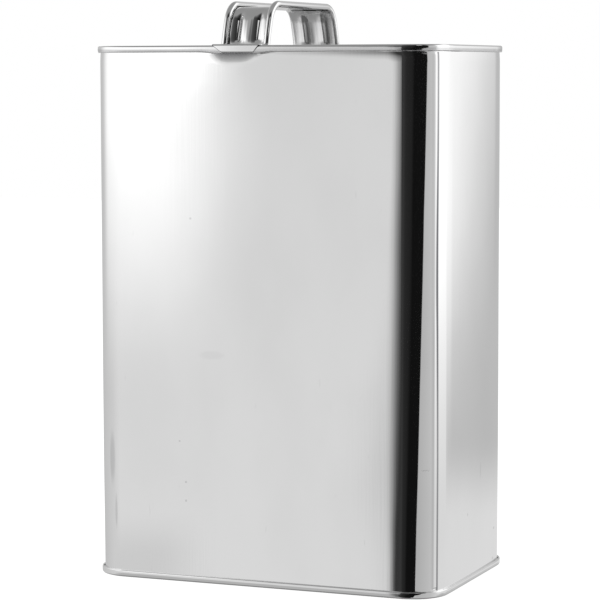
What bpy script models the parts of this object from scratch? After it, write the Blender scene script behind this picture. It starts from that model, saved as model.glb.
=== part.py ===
"""One-gallon F-style can in tinplate, piece by piece as it is made.

A wrapped body is closed by two pressed ends in double seams. A ribbed strap handle is caught
over the top seam, and a low screw cap sits in a sunken well, below the top rim.
The origin is the centre of the base, +Z is up and the wide front panel faces -Y.
"""

import math

import bmesh
import bpy
from mathutils import Vector

MM = 0.001
TAU = 2 * math.pi
SAME_POINT = 0.001 * MM
SAME_SEAM = 0.01 * MM
SHARP_ANGLE = 35.0

# Body, over the outer faces of its wall
BODY_WIDTH = 165.9 * MM
BODY_DEPTH = 103.2 * MM
CAN_HEIGHT = 241.3 * MM
CORNER_RADIUS = 15.6 * MM
BODY_SHEET = 0.3 * MM

# Welded side lap in the front right corner, as headings from the front panel's own
LAP_START = 53.5
LAP_EDGE = 63.5
LAP_STEP = 1.5
LAP_RUN_OUT = 1.2 * MM
WELD_DEPTH = 0.04 * MM

# Ends and double seams
END_SHEET = 0.3 * MM
SHEET_GAP = 0.1 * MM
SEAM_HEIGHT = 3.0 * MM
SEAM_BEND = 0.4 * MM
HOOK_CLEARANCE = 0.3 * MM
COMPOUND_DIAMETER = 0.4 * MM
PANEL_BEND = 1.2 * MM
PANEL_MARGIN = 1.0 * MM
TOP_PANEL_DEPTH = 5.0 * MM
BOTTOM_PANEL_DEPTH = 4.0 * MM
STEP_INSET = 14.0 * MM
STEP_RADIUS = 10.0 * MM
STEP_SLOPE = 2.0 * MM
STEP_RISE = 1.2 * MM

# Sunken well for the cap, and the hole in its floor
WELL_FROM_SIDE = 37.95 * MM
WELL_X = BODY_WIDTH / 2 - WELL_FROM_SIDE
WELL_RADIUS = 28.0 * MM
WELL_SLOPE = 1.0 * MM
WELL_DEPTH = 4.5 * MM
WELL_BEND = 1.2 * MM

# Neck
NECK_SHEET = 0.3 * MM
NECK_RADIUS = 16.0 * MM
THROAT_RADIUS = 13.75 * MM
THROAT_CLEARANCE = 0.3 * MM
CLINCH_WIDTH = 2.6 * MM
NECK_BEAD_RADIUS = 18.2 * MM
NECK_FOLD = 0.35 * MM
NECK_BEND = 0.45 * MM
LIP_WIDTH = 1.2 * MM
GASKET_THICKNESS = 0.6 * MM
GASKET_WIDTH = 3.2 * MM

# Rolled thread, right-handed
THREAD_PITCH = 3.2 * MM
THREAD_DEPTH = 0.8 * MM
THREAD_FADE = 0.8 * MM
THREAD_CLEARANCE = 0.4 * MM

# Cap
CAP_SHEET = 0.3 * MM
CAP_BELOW_RIM = 0.5 * MM
CAP_DISH_RADIUS = 14.5 * MM
CAP_DISH_DEPTH = 0.4 * MM
CAP_DISH_SLOPE = 0.6 * MM
CAP_BEND = 0.8 * MM
CAP_FLARE = 0.8 * MM
CAP_FLARE_BEND = 0.5 * MM
CAP_BASE_CLEARANCE = 0.6 * MM
LINER_THICKNESS = 1.0 * MM
LINER_CLEARANCE = 0.3 * MM
LINER_BEVEL = 0.2 * MM

# Strap handle, over the crests of its rolled edges
HANDLE_X = -9.5 * MM
HANDLE_WIDTH = 22.9 * MM
HANDLE_SHEET = 0.4 * MM
HANDLE_RISE = 19.9 * MM
HANDLE_SPAN = 87.8 * MM
LEG_LEAN = 17.5
SHOULDER_RADIUS = 9.4 * MM
FOOT_BEND = 1.6 * MM
TAB_BEND = 0.75 * MM
TAB_HOOK = 1.1 * MM
TAB_HOOK_BEND = 0.8 * MM
TAB_TIP_WIDTH = 14.6 * MM
TAB_TAPER = 40.0
ROLL_RADIUS = 1.3 * MM
ROLL_TURN = 240.0
LEAST_ROLL = 0.02
RIB_SPACING = 9.4 * MM
RIB_WIDTH = 5.0 * MM
RIB_DEPTH = 1.1 * MM
RIB_FOOT = 2.6 * MM
RIB_TOP = 15.6 * MM
RIB_FADE = 2.0 * MM

# Facets
CORNER_STEPS = 5
ROUND_STEPS = 32
FOLD_STEPS = 2
SHOULDER_STEPS = 6
ROLL_STEPS = 5
THREAD_STEPS = 6

# Offsets from the body's outer face to the middle of each sheet in a double seam
BODY_WALL_OFFSET = -BODY_SHEET / 2
COVER_HOOK_OFFSET = SHEET_GAP + END_SHEET / 2
BODY_HOOK_OFFSET = 2 * SHEET_GAP + END_SHEET + BODY_SHEET / 2
SEAMING_WALL_OFFSET = 3 * SHEET_GAP + END_SHEET + BODY_SHEET + END_SHEET / 2
CHUCK_WALL_OFFSET = -BODY_SHEET - SHEET_GAP - END_SHEET / 2

# How far each fold lies below the rim
COMPOUND_DROP = END_SHEET + SHEET_GAP + COMPOUND_DIAMETER / 2
BODY_FLANGE_DROP = END_SHEET + 2 * SHEET_GAP + COMPOUND_DIAMETER + BODY_SHEET / 2
COVER_HOOK_DROP = BODY_FLANGE_DROP + BODY_SHEET / 2 + HOOK_CLEARANCE
BODY_HOOK_DROP = SEAM_HEIGHT - END_SHEET - HOOK_CLEARANCE

# Heights of the well, the neck and the cap
PANEL_TOP = CAN_HEIGHT - TOP_PANEL_DEPTH
FLOOR_TOP = PANEL_TOP - WELL_DEPTH
CAP_TOP = CAN_HEIGHT - CAP_BELOW_RIM
LINER_TOP = CAP_TOP - CAP_SHEET - CAP_DISH_DEPTH - SHEET_GAP
NECK_TOP = LINER_TOP - LINER_THICKNESS - SHEET_GAP
BEAD_MIDDLE = FLOOR_TOP + 2 * SHEET_GAP + GASKET_THICKNESS + NECK_SHEET / 2
BEAD_TOP = BEAD_MIDDLE + 2 * NECK_FOLD + NECK_SHEET / 2
CAP_BASE = BEAD_TOP + CAP_BASE_CLEARANCE

# Radii of the neck's and the cap's sheets
NECK_WALL = NECK_RADIUS - NECK_SHEET / 2
CAP_WALL = NECK_RADIUS + THREAD_DEPTH + THREAD_CLEARANCE + CAP_SHEET / 2
HOLE_RADIUS = THROAT_RADIUS + THROAT_CLEARANCE


def make_material(name, colour, roughness, metallic):
    """A plain Principled material."""
    material = bpy.data.materials.new(name)
    material.use_nodes = True
    shader = material.node_tree.nodes["Principled BSDF"]
    shader.inputs["Base Color"].default_value = (*colour, 1.0)
    shader.inputs["Roughness"].default_value = roughness
    shader.inputs["Metallic"].default_value = metallic
    return material


def add_object(name, data, collection, material):
    """Links a mesh or curve as a named object in the collection."""
    part = bpy.data.objects.new(name, data)
    data.materials.append(material)
    collection.objects.link(part)
    return part


def add_mesh(name, mesh, collection, material):
    """Turns a bmesh into a named object, shaded smooth but for its folds."""
    data = bpy.data.meshes.new(name)
    bmesh.ops.recalc_face_normals(mesh, faces=mesh.faces)
    mesh.to_mesh(data)
    mesh.free()
    data.shade_smooth()
    data.set_sharp_from_angle(angle=math.radians(SHARP_ANGLE))
    return add_object(name, data, collection, material)


def hide_helper(helper):
    """Keeps a helper solid out of the model."""
    helper.hide_render = True
    helper.display_type = "WIRE"


def give_thickness(part, thickness):
    """Makes a sheet's middle surface a solid of this thickness."""
    wall = part.modifiers.new("Sheet", "SOLIDIFY")
    wall.thickness = thickness
    wall.offset = 0.0
    wall.use_even_offset = True
    return wall


def arc_corner(before, corner, after, radius, steps):
    """The points of a round corner: an arc that touches both legs."""
    corner = Vector(corner)
    back = (Vector(before) - corner).normalized()
    ahead = (Vector(after) - corner).normalized()
    half = back.angle(ahead) / 2
    reach = radius / math.tan(half)
    centre = corner + (back + ahead).normalized() * radius / math.sin(half)
    start = corner + back * reach - centre
    end = corner + ahead * reach - centre
    whole = start.angle(end)
    points = []
    for step in range(steps + 1):
        turn = whole * step / steps
        blend = start * math.sin(whole - turn) + end * math.sin(turn)
        points.append(tuple(centre + blend / math.sin(whole)))
    return points


def rounded_path(corners, steps=FOLD_STEPS):
    """A path through (x, y, radius) corners, each one rounded by its own radius."""
    path = [corners[0][:2]]
    for before, here, after in zip(corners, corners[1:], corners[2:]):
        if here[2] > 0:
            path += arc_corner(before[:2], here[:2], after[:2], here[2], steps)
        else:
            path.append(here[:2])
    path.append(corners[-1][:2])
    apart = [here for before, here in zip(path, path[1:]) if math.dist(before, here) > SAME_POINT]
    return path[:1] + apart


def ramp(value, low, high):
    """A smooth step from 0 at low to 1 at high."""
    share = min(max((value - low) / (high - low), 0.0), 1.0)
    return share * share * (3 - 2 * share)


def new_sheet():
    """An empty bmesh whose points know their place along the chain that draws them."""
    mesh = bmesh.new()
    mesh.verts.layers.int.new("order")
    return mesh


def sweep(mesh, count, stations, place, closed=True):
    """Draws a chain of points at the first station and extrudes it to each next one.

    place(index, station) gives a point's position. Returns the first and last chains' edges.
    """
    order = mesh.verts.layers.int["order"]
    chain = []
    for index in range(count):
        point = mesh.verts.new(place(index, stations[0]))
        point[order] = index
        chain.append(point)
    following = chain[1:] + chain[:1] if closed else chain[1:]
    first = [mesh.edges.new(pair) for pair in zip(chain, following)]
    last = first
    for station in stations[1:]:
        made = bmesh.ops.extrude_edge_only(mesh, edges=last)["geom"]
        points = {item for item in made if isinstance(item, bmesh.types.BMVert)}
        for point in points:
            point.co = place(point[order], station)
        last = [
            item
            for item in made
            if isinstance(item, bmesh.types.BMEdge) and points.issuperset(item.verts)
        ]
    return first, last


def can_outline():
    """Corner sides and heading of each point round the can, the welded lap's edges among them."""
    lap = (LAP_START - LAP_STEP, LAP_START, LAP_EDGE, LAP_EDGE + LAP_STEP)
    points = []
    for index, (side_x, side_y) in enumerate(((1, -1), (1, 1), (-1, 1), (-1, -1))):
        even = [90.0 * (index + step / CORNER_STEPS) for step in range(CORNER_STEPS + 1)]
        headings = [heading for heading in even if min(abs(heading - edge) for edge in lap) > LAP_STEP]
        if index == 0:
            headings += lap
        for heading in sorted(headings):
            points.append((side_x, side_y, heading))
    return points


def round_the_can(outline, offset, height, bend=None):
    """The outline's points at an offset outwards from the body's outer face.

    The corners stay parallel to the body's own unless another bend radius is given.
    """
    radius = CORNER_RADIUS + offset if bend is None else bend
    points = []
    for side_x, side_y, heading in outline:
        turn = math.radians(heading - 90)
        x = side_x * (BODY_WIDTH / 2 + offset - radius) + radius * math.cos(turn)
        y = side_y * (BODY_DEPTH / 2 + offset - radius) + radius * math.sin(turn)
        points.append(Vector((x, y, height)))
    return points


def round_the_cap(index, radius, height):
    """A point on a circle about the cap's axis."""
    turn = TAU * index / ROUND_STEPS
    return Vector((WELL_X + radius * math.cos(turn), radius * math.sin(turn), height))


def thread_wave(index, height):
    """How far the thread stands out of its root at this place, from 0 to its depth."""
    phase = height / THREAD_PITCH - index / ROUND_STEPS
    return THREAD_DEPTH * (1 + math.cos(TAU * phase)) / 2


def spaced(low, high, step):
    """Even spacing from low to high, no wider than the step, ends included."""
    count = math.ceil((high - low) / step)
    return [low + (high - low) * index / count for index in range(count + 1)]


def make_body(collection, helpers, material):
    """The wrapped body: wall, flanges and hooks in one sheet, welded where its ends lap."""
    fold = (BODY_HOOK_OFFSET - BODY_WALL_OFFSET) / 2
    lap_drop = SEAM_HEIGHT + LAP_RUN_OUT
    hook = rounded_path([
        (BODY_HOOK_OFFSET, BODY_HOOK_DROP, 0),
        (BODY_HOOK_OFFSET, BODY_FLANGE_DROP, fold),
        (BODY_WALL_OFFSET, BODY_FLANGE_DROP, fold),
        (BODY_WALL_OFFSET, SEAM_HEIGHT, 0),
        (BODY_WALL_OFFSET, lap_drop, 0),
    ])
    upper = [(offset, CAN_HEIGHT - drop) for offset, drop in hook]
    outline = can_outline()

    def place(index, station):
        offset, height = station
        on_lap = LAP_START <= outline[index][2] <= LAP_EDGE
        if on_lap and lap_drop <= min(height, CAN_HEIGHT - height):
            offset += BODY_SHEET
        return round_the_can(outline[index:index + 1], offset, height)[0]

    mesh = new_sheet()
    sweep(mesh, len(outline), upper + hook[::-1], place)
    part = add_mesh("body_shell", mesh, collection, material)
    give_thickness(part, BODY_SHEET)

    under = [point for point in outline if LAP_START <= point[2] <= LAP_EDGE + LAP_STEP]
    levels = (CAN_HEIGHT - lap_drop, lap_drop)

    def place_under(index, height):
        return round_the_can(under[index:index + 1], BODY_WALL_OFFSET + WELD_DEPTH / 2, height)[0]

    mesh = new_sheet()
    sweep(mesh, len(under), levels, place_under, closed=False)
    tongue = add_mesh("lap_tongue", mesh, helpers, material)
    give_thickness(tongue, BODY_SHEET)
    hide_helper(tongue)
    weld = part.modifiers.new("Side weld", "BOOLEAN")
    weld.operation = "UNION"
    weld.object = tongue
    return part


def seam_profile(depth):
    """An end's sheet from its cover hook over the seam and down to its panel, as drops."""
    fold = (SEAMING_WALL_OFFSET - COVER_HOOK_OFFSET) / 2
    low = SEAM_HEIGHT - END_SHEET / 2
    high = END_SHEET / 2
    panel = depth + END_SHEET / 2
    return rounded_path([
        (COVER_HOOK_OFFSET, COVER_HOOK_DROP, 0),
        (COVER_HOOK_OFFSET, low, fold),
        (SEAMING_WALL_OFFSET, low, fold),
        (SEAMING_WALL_OFFSET, high, SEAM_BEND),
        (CHUCK_WALL_OFFSET, high, SEAM_BEND),
        (CHUCK_WALL_OFFSET, panel, PANEL_BEND),
        (CHUCK_WALL_OFFSET - PANEL_BEND - PANEL_MARGIN, panel, 0),
    ])


def sweep_end(mesh, stations):
    """Sweeps stations round the can, each an offset, a height and where it differs a bend."""
    outline = can_outline()

    def place(index, station):
        return round_the_can(outline[index:index + 1], *station)[0]

    return sweep(mesh, len(outline), stations, place)


def make_top_end(collection, material):
    """The top end, with its sunken panel, the cap's well and the hole for the neck."""
    mesh = new_sheet()
    rim = [(offset, CAN_HEIGHT - drop) for offset, drop in seam_profile(TOP_PANEL_DEPTH)]
    panel_edge = sweep_end(mesh, rim)[1]
    panel = PANEL_TOP - END_SHEET / 2
    floor = FLOOR_TOP - END_SHEET / 2
    well = rounded_path([
        (WELL_RADIUS + WELL_BEND + PANEL_MARGIN, panel, 0),
        (WELL_RADIUS, panel, WELL_BEND),
        (WELL_RADIUS - WELL_SLOPE, floor, WELL_BEND),
        (HOLE_RADIUS, floor, 0),
    ])

    def place(index, station):
        return round_the_cap(index, *station)

    well_edge = sweep(mesh, ROUND_STEPS, well, place)[0]
    bmesh.ops.triangle_fill(mesh, use_beauty=True, edges=panel_edge + well_edge)
    part = add_mesh("top_end", mesh, collection, material)
    give_thickness(part, END_SHEET)
    return part


def make_bottom_end(collection, material):
    """The bottom end, recessed, with one stiffening step in its panel."""
    mesh = new_sheet()
    stations = seam_profile(BOTTOM_PANEL_DEPTH)
    height = stations[-1][1]
    stations.append((-STEP_INSET, height, STEP_RADIUS + STEP_SLOPE))
    stations.append((-STEP_INSET - STEP_SLOPE, height + STEP_RISE, STEP_RADIUS))
    panel_edge = sweep_end(mesh, stations)[1]
    bmesh.ops.edgeloop_fill(mesh, edges=panel_edge)
    part = add_mesh("bottom_end", mesh, collection, material)
    give_thickness(part, END_SHEET)
    return part


def make_compound(name, height, collection, material):
    """The sealing bead that lies between a seam's top and the body's flange."""
    middle = (BODY_HOOK_OFFSET + BODY_WALL_OFFSET) / 2
    points = round_the_can(can_outline(), middle, height)
    curve = bpy.data.curves.new(name, "CURVE")
    curve.dimensions = "3D"
    curve.bevel_depth = COMPOUND_DIAMETER / 2
    curve.bevel_resolution = 1
    spline = curve.splines.new("POLY")
    spline.points.add(len(points) - 1)
    for target, point in zip(spline.points, points):
        target.co = (*point, 1.0)
    spline.use_cyclic_u = True
    return add_object(name, curve, collection, material)


def handle_path():
    """Half of the strap's run, as (distance out from the can's middle, height, length so far)."""
    half_depth = BODY_DEPTH / 2
    middle = HANDLE_SHEET / 2
    outside = half_depth + SEAMING_WALL_OFFSET + END_SHEET / 2 + SHEET_GAP + middle
    inside = half_depth + CHUCK_WALL_OFFSET - END_SHEET / 2 - SHEET_GAP - middle
    under_seam = CAN_HEIGHT - SEAM_HEIGHT - SHEET_GAP - middle
    over_seam = CAN_HEIGHT + SHEET_GAP + middle
    on_panel = PANEL_TOP + SHEET_GAP + middle
    crest = 2 * ROLL_RADIUS + middle
    top = CAN_HEIGHT + HANDLE_RISE - crest
    lean = math.tan(math.radians(LEG_LEAN))
    leg_at_rim = HANDLE_SPAN / 2 - crest / math.cos(math.radians(LEG_LEAN))

    def leg(height):
        return leg_at_rim - (height - CAN_HEIGHT) * lean, height

    rib_low = CAN_HEIGHT + RIB_FOOT
    levels = [CAN_HEIGHT, rib_low, rib_low + RIB_FADE / 2, rib_low + RIB_FADE]
    corners = [
        (outside - TAB_HOOK, under_seam, 0),
        (outside, under_seam, TAB_HOOK_BEND),
        (outside, over_seam, TAB_BEND),
        (inside, over_seam, TAB_BEND),
        (inside, on_panel, TAB_BEND),
        (*leg(on_panel), FOOT_BEND),
    ]
    corners += [(*leg(level), 0) for level in levels]
    shoulder = arc_corner(leg(CAN_HEIGHT), leg(top), (0, top), SHOULDER_RADIUS, SHOULDER_STEPS)
    path = rounded_path(corners) + shoulder + [(0, top)]
    length = 0.0
    run = [(*path[0], length)]
    for before, here in zip(path, path[1:]):
        length += math.dist(before, here)
        run.append((*here, length))
    return run


def strap_section():
    """Half the strap's blank from its middle to its edge, as distances along the sheet."""
    half_rib = RIB_WIDTH / 2
    centre = RIB_SPACING / 2
    ribs = [centre + half_rib * share for share in (-1, -0.5, 0, 0.5, 1)]
    flat_edge = HANDLE_WIDTH / 2 - ROLL_RADIUS
    roll = ROLL_RADIUS * math.radians(ROLL_TURN)
    return ribs + [flat_edge + roll * step / ROLL_STEPS for step in range(ROLL_STEPS + 1)]


def strap_point(along, rolled, ribbed):
    """Where a point of the blank goes across the strap, and how far it stands out.

    The edge rolls outwards, and where it isn't rolled it is trimmed to the same width.
    """
    flat_edge = HANDLE_WIDTH / 2 - ROLL_RADIUS
    if along > flat_edge:
        trim = 1 / math.radians(ROLL_TURN)
        beyond = (along - flat_edge) * (trim + rolled * (1 - trim))
        if rolled < LEAST_ROLL:
            return flat_edge + beyond, 0.0
        radius = ROLL_RADIUS / rolled
        turn = beyond / radius
        return flat_edge + radius * math.sin(turn), radius * (1 - math.cos(turn))
    from_rib = (along - RIB_SPACING / 2) / (RIB_WIDTH / 2)
    if abs(from_rib) >= 1:
        return along, 0.0
    return along, -ribbed * RIB_DEPTH * (1 + math.cos(math.pi * from_rib)) / 2


def make_handle(collection, material):
    """The strap handle: tabs over the seam, feet on the panel, rolled edges and pressed-in ribs."""
    run = handle_path()
    half = strap_section()
    section = [-along for along in reversed(half)] + half
    full_half = HANDLE_WIDTH / 2
    tip_half = TAB_TIP_WIDTH / 2
    taper = math.tan(math.radians(TAB_TAPER))
    foot_reach = HANDLE_SPAN / 2 + FOOT_BEND
    rib_low = CAN_HEIGHT + RIB_FOOT
    rib_high = CAN_HEIGHT + RIB_TOP

    def place(index, station):
        reach, height, length = run[station]
        before = run[max(station - 1, 0)]
        after = run[min(station + 1, len(run) - 1)]
        heading = Vector((after[0] - before[0], after[1] - before[1])).normalized()
        if station == len(run) - 1:
            heading = Vector((-1.0, 0.0))
        on_leg = reach < foot_reach
        rolled = ramp(height, PANEL_TOP + FOOT_BEND, CAN_HEIGHT) if on_leg else 0.0
        rise = ramp(height, rib_low, rib_low + RIB_FADE)
        fall = ramp(height, rib_high - RIB_FADE, rib_high)
        ribbed = rise - fall if on_leg else 0.0
        narrowing = min(1.0, (tip_half + length * taper) / full_half)
        along = section[index]
        across, out = strap_point(abs(along), rolled, ribbed)
        across = math.copysign(across, along) * narrowing
        return Vector((
            HANDLE_X + across,
            -(reach + heading.y * out),
            height - heading.x * out,
        ))

    mesh = new_sheet()
    sweep(mesh, len(section), range(len(run)), place, closed=False)
    part = add_mesh("handle_strap", mesh, collection, material)
    mirror = part.modifiers.new("Back half", "MIRROR")
    mirror.use_axis = (False, True, False)
    mirror.merge_threshold = SAME_SEAM
    give_thickness(part, HANDLE_SHEET)
    return part


def make_neck(collection, material):
    """The threaded neck, clinched under the well's floor and beaded over the gasket."""
    throat = THROAT_RADIUS - NECK_SHEET / 2
    clinch = FLOOR_TOP - END_SHEET - SHEET_GAP - NECK_SHEET / 2
    bead_high = BEAD_MIDDLE + 2 * NECK_FOLD
    bead = NECK_BEAD_RADIUS - NECK_SHEET / 2
    lip = NECK_TOP - NECK_SHEET / 2
    lower = rounded_path([
        (throat + CLINCH_WIDTH, clinch, 0),
        (throat, clinch, NECK_BEND),
        (throat, BEAD_MIDDLE, NECK_BEND),
        (bead, BEAD_MIDDLE, NECK_FOLD),
        (bead, bead_high, NECK_FOLD),
        (NECK_WALL, bead_high, NECK_BEND),
        (NECK_WALL, lip, 0),
    ], 1)[:-1]
    upper = rounded_path([
        (NECK_WALL, bead_high, 0),
        (NECK_WALL, lip, NECK_BEND),
        (NECK_WALL - LIP_WIDTH, lip, 0),
    ], 1)[1:]
    low = BEAD_TOP
    high = lip - NECK_BEND
    levels = spaced(lower[-1][1], high, THREAD_PITCH / THREAD_STEPS)[1:-1]
    stations = lower + [(NECK_WALL, level) for level in levels] + upper

    def place(index, station):
        radius, height = station
        window = ramp(height, low, low + THREAD_FADE) - ramp(height, high - THREAD_FADE, high)
        if radius == NECK_WALL:
            radius += window * thread_wave(index, height)
        return round_the_cap(index, radius, height)

    mesh = new_sheet()
    sweep(mesh, ROUND_STEPS, stations, place)
    part = add_mesh("screw_neck", mesh, collection, material)
    give_thickness(part, NECK_SHEET)
    return part


def make_gasket(collection, material):
    """The flat ring between the neck's bead and the well's floor."""
    inner = THROAT_RADIUS - NECK_SHEET / 2 + NECK_BEND + SHEET_GAP
    outer = inner + GASKET_WIDTH
    low = FLOOR_TOP + SHEET_GAP
    high = low + GASKET_THICKNESS
    stations = [(outer, high), (outer, low), (inner, low), (inner, high)]

    def place(index, station):
        return round_the_cap(index, *station)

    mesh = new_sheet()
    ends = sweep(mesh, ROUND_STEPS, stations, place)
    bmesh.ops.bridge_loops(mesh, edges=ends[0] + ends[1])
    return add_mesh("neck_gasket", mesh, collection, material)


def make_cap(collection, material):
    """The screw cap: flared edge, rolled thread in its skirt and a dished top."""
    top = CAP_TOP - CAP_SHEET / 2
    base = CAP_BASE + CAP_SHEET / 2
    dish = top - CAP_DISH_DEPTH
    lower = rounded_path([
        (CAP_WALL + CAP_FLARE, base, 0),
        (CAP_WALL, base, CAP_FLARE_BEND),
        (CAP_WALL, top, 0),
    ], 1)[:-1]
    upper = rounded_path([
        (CAP_WALL, base, 0),
        (CAP_WALL, top, CAP_BEND),
        (CAP_DISH_RADIUS, top, 0),
        (CAP_DISH_RADIUS - CAP_DISH_SLOPE, dish, 0),
    ])[1:]
    low = lower[-1][1]
    high = LINER_TOP - LINER_THICKNESS
    levels = spaced(low, upper[0][1], THREAD_PITCH / THREAD_STEPS)[1:-1]
    stations = lower + [(CAP_WALL, level) for level in levels] + upper

    def place(index, station):
        radius, height = station
        window = ramp(height, low, low + THREAD_FADE) - ramp(height, high - THREAD_FADE, high)
        if radius == CAP_WALL:
            radius -= window * (THREAD_DEPTH - thread_wave(index, height))
        return round_the_cap(index, radius, height)

    mesh = new_sheet()
    dish_edge = sweep(mesh, ROUND_STEPS, stations, place)[1]
    bmesh.ops.edgeloop_fill(mesh, edges=dish_edge)
    part = add_mesh("screw_cap", mesh, collection, material)
    give_thickness(part, CAP_SHEET)
    return part


def make_liner(collection, material):
    """The sealing disc that lies between the cap's top and the neck's lip."""
    radius = CAP_WALL - CAP_SHEET / 2 - LINER_CLEARANCE
    mesh = bmesh.new()
    bmesh.ops.create_cone(
        mesh, cap_ends=True, segments=ROUND_STEPS, radius1=radius, radius2=radius, depth=LINER_THICKNESS
    )
    part = add_mesh("cap_liner", mesh, collection, material)
    part.location = (WELL_X, 0.0, LINER_TOP - LINER_THICKNESS / 2)
    bevel = part.modifiers.new("Edge", "BEVEL")
    bevel.width = LINER_BEVEL
    bevel.segments = 1
    bevel.limit_method = "ANGLE"
    return part


def main():
    """Builds every piece of the can."""
    for old in list(bpy.data.objects):
        bpy.data.objects.remove(old, do_unlink=True)
    can = bpy.data.collections.new("f_style_can")
    helpers = bpy.data.collections.new("helpers")
    for collection in (can, helpers):
        bpy.context.scene.collection.children.link(collection)
    tinplate = make_material("bright_tinplate", (0.82, 0.82, 0.82), 0.12, 1.0)
    compound = make_material("seaming_compound", (0.55, 0.42, 0.28), 0.7, 0.0)
    rubber = make_material("gasket_rubber", (0.06, 0.06, 0.06), 0.6, 0.0)
    foam = make_material("liner_foam", (0.88, 0.87, 0.83), 0.8, 0.0)

    make_body(can, helpers, tinplate)
    make_top_end(can, tinplate)
    make_bottom_end(can, tinplate)
    make_compound("top_seam_compound", CAN_HEIGHT - COMPOUND_DROP, can, compound)
    make_compound("bottom_seam_compound", COMPOUND_DROP, can, compound)
    make_handle(can, tinplate)
    make_neck(can, tinplate)
    make_gasket(can, rubber)
    make_cap(can, tinplate)
    make_liner(can, foam)


main()
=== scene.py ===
"""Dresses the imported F-style can in bright tinplate, with its studio and camera.

Sheet pieces are drawn as their middle surface, by extruding or spinning one chain of points
with bmesh operators, and then get their thickness. Lengths are in metres, in the frame of the
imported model: origin at the centre of the base, +Z up, the wide front panel facing -Y.
"""

from __future__ import annotations

import logging
import math
from dataclasses import dataclass
from enum import Enum
from typing import Iterable, Sequence

import bmesh
import bpy
from bmesh.types import BMEdge, BMVert
from mathutils import Matrix, Vector, noise

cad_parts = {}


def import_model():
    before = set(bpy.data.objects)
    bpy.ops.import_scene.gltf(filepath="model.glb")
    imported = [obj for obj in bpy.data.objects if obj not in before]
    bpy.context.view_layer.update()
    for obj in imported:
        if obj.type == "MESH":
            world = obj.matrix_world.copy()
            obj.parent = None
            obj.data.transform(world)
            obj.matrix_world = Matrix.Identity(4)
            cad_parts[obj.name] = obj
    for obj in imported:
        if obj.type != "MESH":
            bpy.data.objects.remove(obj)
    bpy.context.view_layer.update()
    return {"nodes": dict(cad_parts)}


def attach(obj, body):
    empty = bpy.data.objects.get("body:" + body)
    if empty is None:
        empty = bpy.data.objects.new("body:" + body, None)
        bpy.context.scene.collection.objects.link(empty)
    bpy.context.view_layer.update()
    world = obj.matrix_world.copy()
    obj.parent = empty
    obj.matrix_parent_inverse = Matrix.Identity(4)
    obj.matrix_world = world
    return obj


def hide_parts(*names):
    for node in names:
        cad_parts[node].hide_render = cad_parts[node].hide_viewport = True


LOG = logging.getLogger("f_style_can")
MM = 0.001
TAU = 2 * math.pi

# Points this close together are the same point, and headings this close, in degrees, the same heading
SAME_POINT = 0.001 * MM
SAME_HEADING = 0.01

Profile = list[tuple[float, float]]
Pairs = tuple[tuple[float, float], ...]
Triple = tuple[float, float, float]
Socket = bpy.types.NodeSocket


class Body(Enum):
    """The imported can's bodies that the drawn pieces ride on."""

    CAN = "can"
    CAP = "cap"


class Slot(Enum):
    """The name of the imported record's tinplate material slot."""

    TINPLATE = "bright_tinplate"


def share_of(value: float, low: float, high: float) -> float:
    """Returns: how far a value has gone from low to high, from 0 to 1."""
    return min(max((value - low) / (high - low), 0.0), 1.0)


def ramp(value: float, low: float, high: float) -> float:
    """Returns: a value that goes smoothly from 0 at low to 1 at high."""
    share = share_of(value, low, high)
    return share * share * (3 - 2 * share)


def hump(value: float, centre: float, reach: float) -> float:
    """Returns: a smooth hump, 1 at its centre and 0 from its reach on."""
    share = min(abs(value - centre) / reach, 1.0)
    return (1 + math.cos(math.pi * share)) / 2


def spaced(low: float, high: float, step: float) -> list[float]:
    """Returns: evenly spaced values from low to high, no wider apart than the step, ends included."""
    count = max(1, math.ceil(abs(high - low) / step))
    return [low + (high - low) * index / count for index in range(count + 1)]


def value_at(points: Sequence[tuple[float, float]], place: float) -> float:
    """Returns: the value at this place along straight runs between (place, value) points."""
    for (start, first), (end, second) in zip(points, points[1:]):
        if place <= end:
            return first + (second - first) * max(place - start, 0.0) / (end - start)
    return points[-1][1]


def heading_of(out: Vector) -> float:
    """Returns: which way is out, in degrees from the front panel's own way towards +X."""
    return math.degrees(math.atan2(out.x, -out.y))


def from_axis(point: BMVert, centre_x: float) -> float:
    """Returns: how far a point lies from an upright axis that stands at this place along X."""
    return math.hypot(point.co.x - centre_x, point.co.y)


def as_object(name: str, mesh: bmesh.types.BMesh) -> bpy.types.Object:
    """Makes an object of a bmesh, which is freed.

    Args:
        name: The object's name, and its mesh's.
        mesh: The bmesh.

    Returns:
        The object, in the scene.
    """
    data = bpy.data.meshes.new(name)
    mesh.to_mesh(data)
    mesh.free()
    made = bpy.data.objects.new(name, data)
    bpy.context.scene.collection.objects.link(made)
    return made


def arc_corner(
    before: Sequence[float], corner: Sequence[float], after: Sequence[float], radius: float, steps: int
) -> Profile:
    """Rounds one corner of a profile.

    Args:
        before: The point before the corner.
        corner: The sharp corner.
        after: The point after the corner.
        radius: The radius of the arc, which touches both legs.
        steps: How many steps the arc is drawn in.

    Returns:
        The points of the arc, its ends included.
    """
    middle = Vector(corner)
    back = (Vector(before) - middle).normalized()
    ahead = (Vector(after) - middle).normalized()
    half = back.angle(ahead) / 2
    reach = radius / math.tan(half)
    centre = middle + (back + ahead).normalized() * radius / math.sin(half)
    start = middle + back * reach - centre
    end = middle + ahead * reach - centre
    whole = start.angle(end)
    points = []
    for step in range(steps + 1):
        turn = whole * step / steps
        blend = (start * math.sin(whole - turn) + end * math.sin(turn)) / math.sin(whole)
        points.append(tuple(centre + blend))
    return points


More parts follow.
